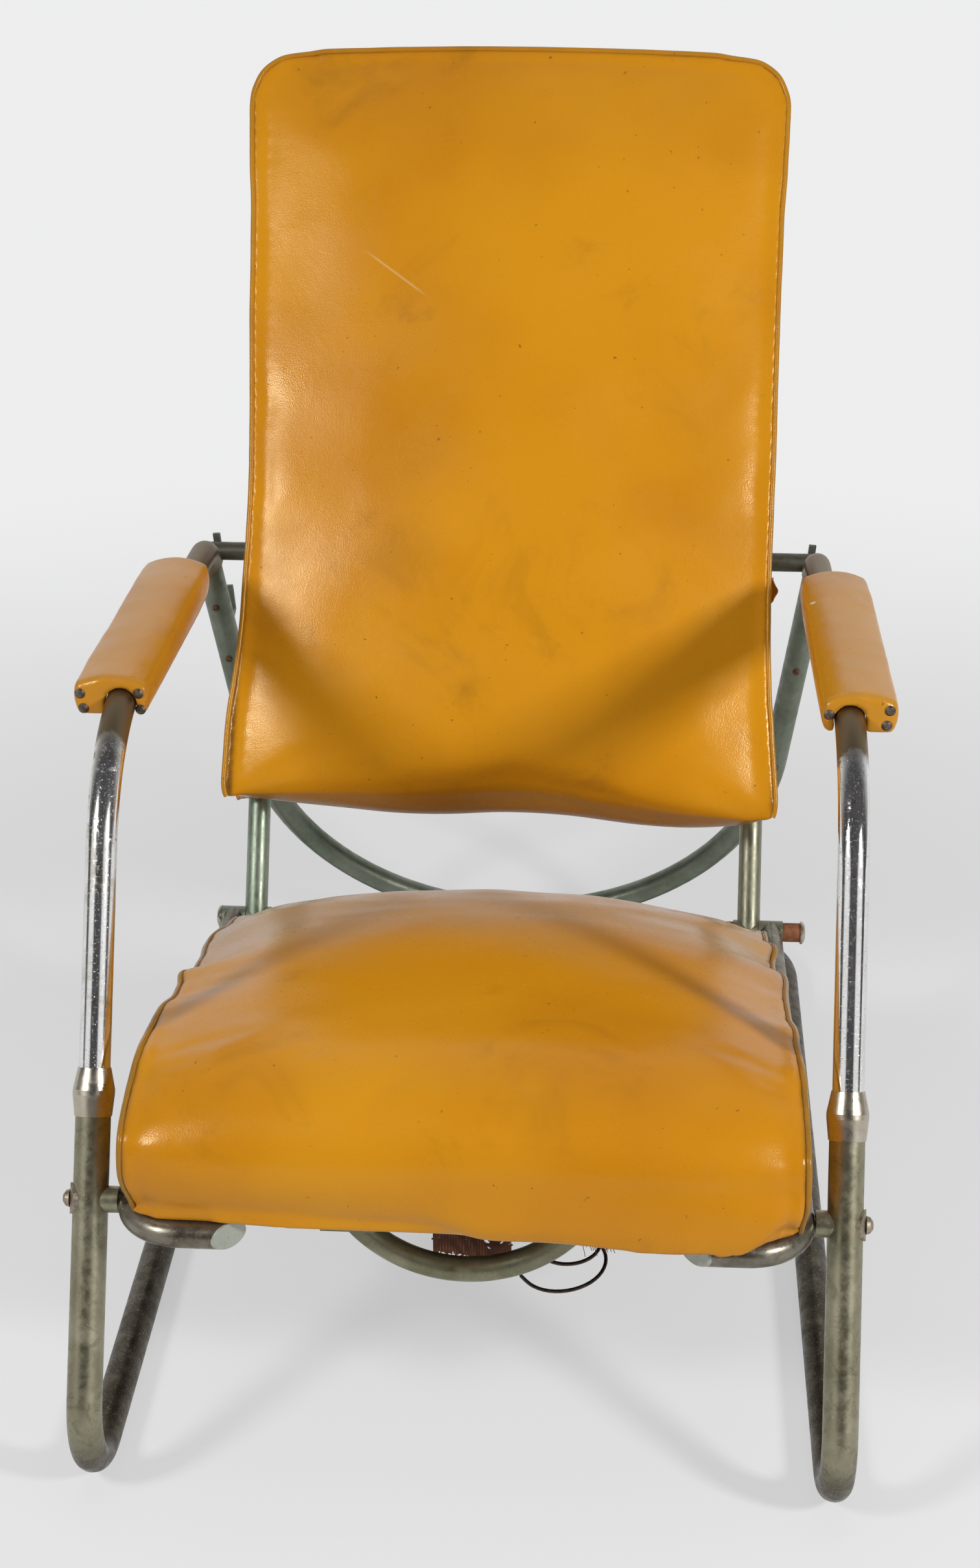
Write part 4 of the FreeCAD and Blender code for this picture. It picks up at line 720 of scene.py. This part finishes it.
def backSeamLine(y, inset):
    half = backPlan["halfWidth"] - inset
    low = backPlan["low"]
    high = backPlan["high"] - inset
    corner = backPlan["corner"]
    waist = backPlan["waist"]
    quarter = corner * (1 - math.sqrt(0.5))
    cornerFoot = Vector((-half, y, high - corner))
    side = arcThrough(Vector((-half, y, low)), Vector((waist - half, y, (low + high) / 2)), cornerFoot, 60)
    cornerTop = Vector((corner - half, y, high))
    turn = arcThrough(cornerFoot, Vector((quarter - half, y, high - quarter)), cornerTop, 14)
    top = arcThrough(cornerTop, Vector((0, y, high + waist)), Vector((half - corner, y, high)), 50)
    left = side + turn[1:]
    right = [Vector((-p.x, p.y, p.z)) for p in reversed(left)]
    return left + top[1:-1] + right


frontSeam = evenly(backSeamLine(backRear - backPlan["frontSeam"], 0.0), 0.004)
rearSeam = evenly(backSeamLine(backRear - backPlan["rearSeam"], 0.005), 0.004)
frontSeamTree = nearTree(frontSeam)
rearSeamTree = nearTree(rearSeam)


def backHeld(co):
    place = backIn @ co
    near = min(frontSeamTree.find(place)[2], rearSeamTree.find(place)[2])
    held = 1 - smooth(near, 0.004, 0.012)
    if place.y > backRear - 0.003:
        held = 1.0
    return held


inflate(backCushion, backHeld, backPlan["shrink"], backPlan["cap"])


def backShaping(co, normal):
    place = backIn @ co
    seamNumber, near = frontSeamTree.find(place)[1:]
    move = Vector((0, 0, 0))
    groove = math.exp(-((near / 0.005) ** 2)) * 0.0014
    pucker = math.sin(seamNumber * 0.62 + 2.2 * math.sin(seamNumber * 0.11)) * math.exp(-near / 0.016)
    loose = 0.35 + 0.65 * smooth(noise.noise(Vector((seamNumber * 0.02, 3.1, 0))), -0.2, 0.5)
    move -= normal * (groove + 0.0004 * pucker * loose * smooth(near, 0.002, 0.010))
    # soft unevenness of old padding
    lump = noise.noise(place * 7.0) + 0.5 * noise.noise(place * 15.0 + Vector((4, 0, 0)))
    open_ = smooth(near, 0.01, 0.06)
    if place.y < backRear - 0.01:
        move += normal * (0.0022 * lump * open_)
    return move


def backSag(co):
    place = backIn @ co
    move = Vector((0, 0, 0))
    low = 1 - smooth(place.z, 0.12, 0.24)
    front = smooth(backRear - place.y, 0.0, 0.05)
    # the foot hangs lower towards the right and its corners stand out
    right = smooth(place.x, -0.02, 0.21) * (1 - 0.35 * smooth(place.x, 0.235, 0.27))
    move.z -= (0.004 + 0.013 * right) * low * front
    move.z += 0.0025 * math.sin(place.x * 26 + 0.6) * low * front
    # left edge leans out low down and in half way up
    left = smooth(-place.x, 0.17, 0.26)
    drawnIn = math.exp(-(((place.z - 0.42) / 0.12) ** 2))
    move.x -= left * (0.007 * (1 - smooth(place.z, 0.17, 0.30)) - 0.004 * drawnIn)
    # and the right edge does the same, though less
    rightSide = smooth(place.x, 0.17, 0.26)
    drawnIn = math.exp(-(((place.z - 0.30) / 0.10) ** 2))
    move.x += rightSide * (0.003 * (1 - smooth(place.z, 0.13, 0.2)) - 0.003 * drawnIn)
    return backFrame.to_3x3() @ move


nudge(backCushion, backShaping)
backCushion.data.update()
nudge(backCushion, lambda co, normal: backSag(co))
vinylBack = amberVinyl(
    "amberVinylBack",
    chips=[((0.2400, 0.1270, 0.4359), 0.0035)],
    scratches=[((-0.1510, 0.3265, 0.8304), (-0.0802, 0.2986, 0.7880), 0.0016)],
)
finishPadding(backCushion, vinylBack, 1)
frontSeamY = backRear - backPlan["frontSeam"]


def backGrimeAndShade(co):
    # dirt and painted shade in the seam grooves, painted shade towards the top, darker at the foot
    place = backIn @ co
    near = min(frontSeamTree.find(place)[2], rearSeamTree.find(place)[2])
    edge = math.exp(-((near / 0.0042) ** 2)) * 0.9
    foot = (1 - smooth(place.z, 0.100, 0.150)) * 0.22
    top = smooth(place.z, 0.55, 0.86) * 0.15
    boxing = 0.26 * smooth(place.y, frontSeamY + 0.003, frontSeamY + 0.010)   # the side panel is darker
    return min(edge + foot + top + boxing, 1.0)


setMark(backCushion, "grimeAndShade", backGrimeAndShade)
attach(backCushion, "back")
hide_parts("back_cushion")


def onSurface(piece, line, lift):
    # the line laid on the piece's surface, raised by lift
    tree = nearTree([v.co for v in piece.data.vertices])
    laid = []
    for point in line:
        found = tree.find_n(point, 6)
        normal = Vector((0, 0, 0))
        height = Vector((0, 0, 0))
        total = 0.0
        for place, number, gap in found:
            weight = 1 / (gap + 0.0005)
            normal += piece.data.vertices[number].normal * weight
            height += place * weight
            total += weight
        height /= total
        normal.normalize()
        laid.append(point + normal * ((height - point).dot(normal) + lift))
    return laid


def softened(line, rounds):
    line = [p.copy() for p in line]
    for _ in range(rounds):
        inner = [(a + b * 2 + c) / 4 for a, b, c in zip(line[:-2], line[1:-1], line[2:])]
        line = [line[0]] + inner + [line[-1]]
    return line


pipingVinyl = {
    "back": amberVinyl("amberPipingBack", worn="pipingOlive", wornShare=0.45),
    "seat": amberVinyl("amberPipingSeat", worn="pipingOlive", wornShare=1.0),
}


def sewnPiping(name, piece, line, radius, body, wobble=0.0004):
    laid = onSurface(piece, line, radius * 0.55)
    laid = softened(laid, 3)
    for number, point in enumerate(laid):
        point += Vector(noise.noise_vector(Vector((number * 0.06, radius * 900, 0.5)))) * wobble
    cord = cordTube(name, laid, radius)
    cord.data.materials.append(pipingVinyl[body])
    setMark(cord, "grimeAndShade", lambda co: 0.22)
    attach(cord, body)
    return cord


def sagged(line):
    return [p + backSag(p) for p in line]


frontLine = sagged([backFrame @ p for p in frontSeam])
rearLine = sagged([backFrame @ p for p in rearSeam])
sewnPiping("backPipingFront", backCushion, frontLine, backPlan["pipingRadius"], "back")
rearPiping = sewnPiping("backPipingRear", backCushion, rearLine, backPlan["pipingRadius"], "back")

# a torn scrap of the cover that stands out from the right side
tearPlan = {"at": (0.2565, -0.052, 0.320), "tall": 0.024, "out": 0.0062, "thick": 0.0011}
coverTear = gridPiece("coverTear", 10, 16)
for vertex in coverTear.data.vertices:
    out, up = vertex.co.x + 0.5, vertex.co.y + 0.5
    reach = tearPlan["out"] * out * (0.35 + 0.65 * math.sin(math.pi * min(up * 1.15, 1.0)))
    reach *= 1 - 0.15 * math.sin(up * 11)
    curl = Vector((reach, -0.004 * out * out, tearPlan["tall"] * up + 0.002 * out))
    vertex.co = backFrame @ (Vector(tearPlan["at"]) + curl)
thicken(coverTear, tearPlan["thick"])
coverTear.data.materials.append(pipingVinyl["back"])
setMark(coverTear, "grimeAndShade", lambda co: 0.1)
bpy.ops.object.select_all(action="DESELECT")
coverTear.select_set(True)
rearPiping.select_set(True)
bpy.context.view_layer.objects.active = rearPiping
bpy.ops.object.join()
print("back cushion done")

# Seat cushion: a cover that runs from the front foot over the top to the rear, with a boxed panel each side
seatPlan = {
    "width": 0.538,
    "front": 0.054,
    "rear": 0.500,
    "thickness": 0.114,
    "rearThickness": 0.062,
    "crown": 0.020,
    "taper": 0.010,
    "voxel": 0.0065,
    "shrink": 0.009,
    "cap": 0.024,
    "pipingRadius": 0.0027,
}
seatIn = seatFrame.inverted()
seatCushion = paddedForm("seat_cushion", "seatCushion", seatPlan["voxel"])
seatLow = min((seatIn @ v.co).z for v in seatCushion.data.vertices)


def seatSeamLine(x, crown, pull):
    # side profile of the cover, from the front foot over the top to the rear foot
    floor = seatLow
    top = floor + seatPlan["thickness"] + crown
    rearThick = seatPlan["rearThickness"] + crown * 1.8
    rearTop = floor + rearThick
    front = -seatPlan["front"] - crown * 0.5 + pull
    rear = seatPlan["rear"] + crown * 0.3 - pull
    half = seatPlan["width"] / 2

    def at(y, z):
        return Vector((x * (1 - seatPlan["taper"] / half * y / seatPlan["rear"]), y, z))

    foot = at(front + 0.007, floor)
    belly = at(front - 0.006, floor + seatPlan["thickness"] * 0.3)
    brow = at(front - 0.002, floor + seatPlan["thickness"] * 0.62)
    turn = at(front + 0.024, top - 0.021)
    crest = at(front + 0.084, top)
    middle = at((front + rear) / 2 - 0.020, (top + rearTop) / 2 + 0.007)
    rearCrest = at(rear - 0.128, rearTop)
    rearTurn = at(rear - 0.040, floor + rearThick * 0.62)
    rearBelly = at(rear, floor + rearThick * 0.2)
    line = arcThrough(foot, belly, brow, 16)
    line += arcThrough(brow, turn, crest, 20)[1:]
    line += arcThrough(crest, middle, rearCrest, 50)[1:]
    line += arcThrough(rearCrest, rearTurn, rearBelly, 24)[1:]
    return line


seamSides = {}
for sideName, side in (("Left", -1), ("Right", 1)):
    seamLine = seatSeamLine(side * seatPlan["width"] / 2 * 0.992, -0.6 * seatPlan["crown"], 0.010)
    seamSides[sideName] = evenly(seamLine, 0.004)
seatSeamTree = nearTree(seamSides["Left"] + seamSides["Right"])


def seatHeld(co):
    place = seatIn @ co
    near = seatSeamTree.find(place)[2]
    held = 1 - smooth(near, 0.004, 0.013)
    if place.z < seatLow + 0.003:
        held = 1.0
    return held


inflate(seatCushion, seatHeld, seatPlan["shrink"], seatPlan["cap"])


def seatBuckle(place, seamNumber, near):
    # the slack cover has buckled in waves along its side seams, most of all towards the rear
    side = 1 if place.x > 0 else -1
    slack = smooth(place.y, 0.03, 0.26) * (1 - 0.5 * smooth(place.y, 0.42, 0.49))
    turn = seamNumber * 0.195 + 1.1 * math.sin(seamNumber * 0.085 + side)
    wave = math.sin(turn) + 0.38 * math.sin(2 * turn + 0.8)
    amount = 0.0034 * slack * wave * math.exp(-((near / 0.055) ** 2))
    return Vector((-0.8 * side * amount, 0, -0.7 * amount))


def seatSag(co):
    # towards the right the front edge has slipped forward and hangs over the rail, and the corners are rounded
    side = 1 if co.x > 0 else -1
    share = 0.55 * smooth(co.x, -0.05, 0.03) + 0.45 * smooth(co.x, 0.06, 0.17)
    share *= 1 - smooth(co.z, 0.262, 0.305)
    ahead = smooth(-co.y, 0.450, 0.461) * (1 - 0.6 * smooth(-co.y, 0.470, 0.482))
    forward = 0.0165 * share * ahead
    drop = 0.0125 * share * smooth(forward - co.y, 0.4715, 0.4760)
    corner = (1 - smooth(co.z, 0.250, 0.292)) * smooth(abs(co.x), 0.225, 0.268)
    corner *= 1 - smooth(co.y, -0.45, -0.40)
    inward = -0.003 if side > 0 else 0.009
    return Vector((inward * corner, -forward, -drop))


def seatShaping(co, normal):
    place = seatIn @ co
    seamNumber, near = seatSeamTree.find(place)[1:]
    move = Vector((0, 0, 0))
    if place.z < seatLow + 0.003:
        return move
    groove = math.exp(-((near / 0.0055) ** 2)) * 0.0016
    rearward = smooth(place.y, 0.05, 0.42)
    pucker = math.sin(seamNumber * 0.31 + 1.7 * math.sin(seamNumber * 0.13 + 0.8))
    reach = math.exp(-near / 0.030) * smooth(near, 0.002, 0.014)
    move -= normal * (groove + (0.0006 + 0.0009 * rearward) * pucker * reach)
    move += seatFrame.to_3x3() @ seatBuckle(place, seamNumber, near)
    lump = noise.noise(place * 6.0 + Vector((2, 0, 0))) + 0.45 * noise.noise(place * 14.0)
    move += normal * (0.0026 * lump * smooth(near, 0.01, 0.06))
    # shallow wrinkles across the rear, where the cover has gone slack
    back = smooth(place.y, 0.25, 0.42) * smooth(near, 0.01, 0.05)
    fold = noise.noise(Vector((place.x * 5.0, place.y * 34.0, 0.4)))
    move += normal * (0.0014 * fold * back)
    return move + seatSag(co)


nudge(seatCushion, seatShaping)
vinylSeat = amberVinyl(
    "amberVinylSeat",
    dustAndSheen=0.85,
    cuts=[((0.2396, -0.4600, 0.3350), 0.0022), ((0.2440, -0.4620, 0.3325), 0.0022)],
)
finishPadding(seatCushion, vinylSeat, 1)


def seatGrimeAndShade(co):
    # dirt and painted shade in the seam grooves, darker at the foot
    place = seatIn @ co
    near = seatSeamTree.find(place)[2]
    edge = math.exp(-((near / 0.0050) ** 2)) * 0.95
    foot = (1 - smooth(place.z, seatLow, seatLow + 0.030)) * 0.10
    return min(edge + foot, 1.0)


def seatDustAndSheen(co):
    # towards the rear: pale dust and a painted pale reflection
    place = seatIn @ co
    return smooth(place.y + 0.04 * noise.noise(place * 9.0), 0.16, 0.38)


setMark(seatCushion, "grimeAndShade", seatGrimeAndShade)
setMark(seatCushion, "dustAndSheen", seatDustAndSheen)
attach(seatCushion, "seat")
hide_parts("seat_cushion")
for sideName, seamLine in seamSides.items():
    first = 0 if sideName == "Left" else len(seamSides["Left"])
    line = [seatFrame @ (p + seatBuckle(p, first + number, 0.0)) for number, p in enumerate(seamLine)]
    line = [p + seatSag(p) for p in line]
    cordName = "seatPiping" + sideName
    sewnPiping(cordName, seatCushion, line, seatPlan["pipingRadius"], "seat", 0.0008)
print("seat cushion done")

# Armrest pads: a cover pulled over the board and nailed at the front
padPlan = {
    "voxel": 0.0022,
    "chip": ((0.2848, 0.0620, 0.5777), 0.0036),   # centre and radius
    "paleFacing": (0.5, 0.9),   # the pale top, pale dust and a painted sheen, as far as it faces up and lies on the outer side
    "paleSide": (-0.022, -0.004),
}
padVinyl = amberVinyl("amberVinylPads", dustAndSheen=0.14, worn="padBrown", wornShare=0.40, chips=[padPlan["chip"]])
for sideName in ("left", "right"):
    node = "armrest_pad_" + sideName
    armPad = paddedForm(node, sideName + "ArmPad", padPlan["voxel"])
    padLow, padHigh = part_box(node)

    def padShaping(co, normal):
        share = (co.y - padLow.y) / (padHigh.y - padLow.y)
        lump = noise.noise(co * 16.0) + 0.5 * noise.noise(co * 38.0)
        outside = smooth(normal.z, -0.2, 0.5)
        front = 1 - smooth(share, 0.0, 0.03)
        tuck = math.sin(co.x * 310) * math.exp(-share / 0.035) * outside
        return normal * (0.0007 * lump * outside + 0.0005 * tuck - 0.0006 * front * outside)

    nudge(armPad, padShaping)
    finishPadding(armPad, padVinyl, 0)
    padFront = padLow.y

    def padGrimeAndShade(co):
        # darker at the front tuck and the rear, painted shade underneath
        front = math.exp(-(((co.y - padFront - 0.006) / 0.004) ** 2)) * 0.22
        rear = smooth(co.y, padHigh.y - 0.02, padHigh.y) * 0.30
        under = (1 - smooth(co.z, padLow.z, padLow.z + 0.012)) * 0.3
        return min(front + rear + under, 1.0)

    setMark(armPad, "grimeAndShade", padGrimeAndShade)
    # the up-facing outer top: pale dust and a painted sheen
    layer = armPad.data.attributes.new("dustAndSheen", "FLOAT", "POINT")
    middle = (padLow.x + padHigh.x) / 2
    outward = 1 if sideName == "right" else -1
    facing = [
        smooth(v.normal.z, *padPlan["paleFacing"]) * smooth((v.co.x - middle) * outward, *padPlan["paleSide"])
        for v in armPad.data.vertices
    ]
    layer.data.foreach_set("value", facing)
    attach(armPad, "frame")
    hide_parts(node)
print("armrest pads done")

# Jute: a loose-woven layer over the springs, with a torn strip that hangs down behind the bow
jutePlan = {
    "raggedEdge": 0.006,
    "thread": 0.0010,
    "flapFrom": -0.030,   # the strip's sides
    "flapTo": 0.037,
    "flapAt": -0.385,   # how far back it hangs
    "flapDrop": 0.080,
    "frayAt": (0.088, 0.113),   # frayed threads at the bow's right end
    "frayTop": (-0.3975, 0.2215),
    "frayDrop": 0.030,
    "frayThreads": 46,
    "frayWire": 0.00028,
    "weaveScale": 130,
}


def wovenJute():
    finish = Finish("wovenJute", Roughness=0.95)
    ways = []
    for direction in ("X", "Y"):
        inputs = {"Vector": finish.place, "Scale": jutePlan["weaveScale"], "Distortion": 1.2}
        ways.append(finish.add("TexWave", inputs, bands_direction=direction).outputs["Fac"])
    threads = finish.sums(*ways)
    colour = finish.blend(threads, (0.085, 0.030, 0.015), (0.30, 0.105, 0.045))
    finish.colour(finish.blend(finish.step(finish.clouds(40, 6, 0.7), 0.4, 0.7), colour, (0.16, 0.065, 0.032)))
    finish.surface(finish.relief(threads, 0.0006, 0.8))
    return finish.material


juteFinish = wovenJute()
juteIn = [seatIn @ v.co for v in cadNodes["jute_layer"].data.vertices]
juteX = max(p.x for p in juteIn)
juteFrontY = min(p.y for p in juteIn)
juteRearY = max(p.y for p in juteIn)
juteZ = sum(p.z for p in juteIn) / len(juteIn)
juteCloth = gridPiece("juteCloth", 90, 90)
for vertex in juteCloth.data.vertices:
    x = vertex.co.x * 2 * juteX
    y = juteFrontY + (vertex.co.y + 0.5) * (juteRearY - juteFrontY)
    ragged = jutePlan["raggedEdge"] * noise.noise(Vector((x * 60, y * 60, 0)))
    y += ragged * (1 - smooth(vertex.co.y + 0.5, 0.0, 0.08))
    vertex.co = seatFrame @ Vector((x, y, juteZ + 0.0006 * noise.noise(Vector((x * 30, y * 30, 1)))))
thicken(juteCloth, jutePlan["thread"])
juteCloth.data.materials.append(juteFinish)
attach(juteCloth, "seat")
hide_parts("jute_layer")

juteFlap = gridPiece("juteFlap", 60, 72)
flapTop = (seatFrame @ Vector((0, (seatIn @ Vector((0, jutePlan["flapAt"], 0.246))).y, juteZ))).z
flapWide = jutePlan["flapTo"] - jutePlan["flapFrom"]
torn = []
for face in juteFlap.data.polygons:
    across, down = face.center.x + 0.5, 0.5 - face.center.y
    hem = 0.95 + 0.06 * noise.noise(Vector((across * 9, 0.3, 5)))
    hem += 0.05 * noise.noise(Vector((across * 40, 2.0, 5)))
    frayed = 0.02 + 0.03 * noise.noise(Vector((down * 14, 7.0, 1)))
    hole = noise.noise(Vector((across * 16, down * 18, 2.4))) > 0.52 and down > 0.45
    if down > hem or across < frayed or across > 1 - frayed or hole:
        torn.append(face.index)
pick(juteFlap)
bpy.ops.object.mode_set(mode="EDIT")
bpy.ops.mesh.select_all(action="DESELECT")
bpy.ops.mesh.select_mode(type="FACE")
bpy.ops.object.mode_set(mode="OBJECT")
for number in torn:
    juteFlap.data.polygons[number].select = True
bpy.ops.object.mode_set(mode="EDIT")
bpy.ops.mesh.delete(type="FACE")
bpy.ops.object.mode_set(mode="OBJECT")
for vertex in juteFlap.data.vertices:
    across, down = vertex.co.x + 0.5, 0.5 - vertex.co.y
    x = jutePlan["flapFrom"] + flapWide * across
    curl = 0.005 * down * math.sin(across * 5.0 + 0.7) + 0.004 * down * down
    vertex.co = (x, jutePlan["flapAt"] + curl, flapTop - jutePlan["flapDrop"] * down)
thicken(juteFlap, jutePlan["thread"])
juteFlap.data.materials.append(juteFinish)

frayCurve = bpy.data.curves.new("juteFray", "CURVE")
frayCurve.dimensions = "3D"
frayCurve.bevel_depth = jutePlan["frayWire"]
frayCurve.bevel_resolution = 1
frayCurve.use_fill_caps = True
for number in range(jutePlan["frayThreads"]):
    chance = [noise.noise(Vector((number * 3.7, kind * 11.3, 0.5))) for kind in range(4)]
    low, high = jutePlan["frayAt"]
    x = low + (high - low) * (number + 0.5) / jutePlan["frayThreads"]
    drop = jutePlan["frayDrop"] * (0.8 + 0.5 * chance[0])
    y, z = jutePlan["frayTop"]
    top = Vector((x, y + 0.001 * chance[1], z))
    thread = frayCurve.splines.new("NURBS")
    thread.points.add(3)
    lean = 0.006 + 0.008 * chance[2]
    for slot, share in zip(thread.points, (0, 0.35, 0.7, 1.0)):
        slot.co = (top.x + lean * share * share, top.y + 0.002 * share * chance[3], top.z - drop * share, 1)
    thread.order_u = 3
    thread.use_endpoint_u = True
    thread.resolution_u = 2
pick(placed("juteFray", frayCurve))
bpy.ops.object.convert(target="MESH")
juteFray = bpy.context.object
juteFray.data.materials.append(juteFinish)
for scrap in (juteFlap, juteFray):
    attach(scrap, "seat")
print("jute done")

# Loose spring: an hourglass coil whose lowest turn is bent down, so that its free end lies behind the bow
looseSpringPlan = {
    "middle": (0.0830, -0.3520),
    "endRadius": 0.0405,
    "waistRadius": 0.0285,
    "wire": 0.0016,
    "heights": (0.130, 0.142, 0.1515, 0.1565, 0.160, 0.163, 0.167, 0.174, 0.185, 0.199, 0.214, 0.228, 0.2375),
    "perQuarter": 5,
}


def springHeight(quarter):
    # the wire's height above the floor, a quarter turn at a time from its free end
    heights = looseSpringPlan["heights"]
    number = min(int(quarter), len(heights) - 2)
    share = quarter - number
    return heights[number] + (heights[number + 1] - heights[number]) * share


springLine = []
quarters = len(looseSpringPlan["heights"]) - 1
growth = looseSpringPlan["endRadius"] - looseSpringPlan["waistRadius"]
for number in range(quarters * looseSpringPlan["perQuarter"] + 1):
    quarter = number / looseSpringPlan["perQuarter"]
    radius = looseSpringPlan["waistRadius"] + growth * (2 * quarter / quarters - 1) ** 2
    angle = math.pi + quarter * math.pi / 2
    x = looseSpringPlan["middle"][0] + radius * math.cos(angle)
    y = looseSpringPlan["middle"][1] + radius * math.sin(angle)
    springLine.append(Vector((x, y, springHeight(quarter))))
looseSpring = cordTube("looseSpring", softened(springLine, 4), looseSpringPlan["wire"], 12)
looseSpring.data.materials.append(finishes["wireDark"])
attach(looseSpring, "seat")
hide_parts("loose_spring")
print("loose spring done")
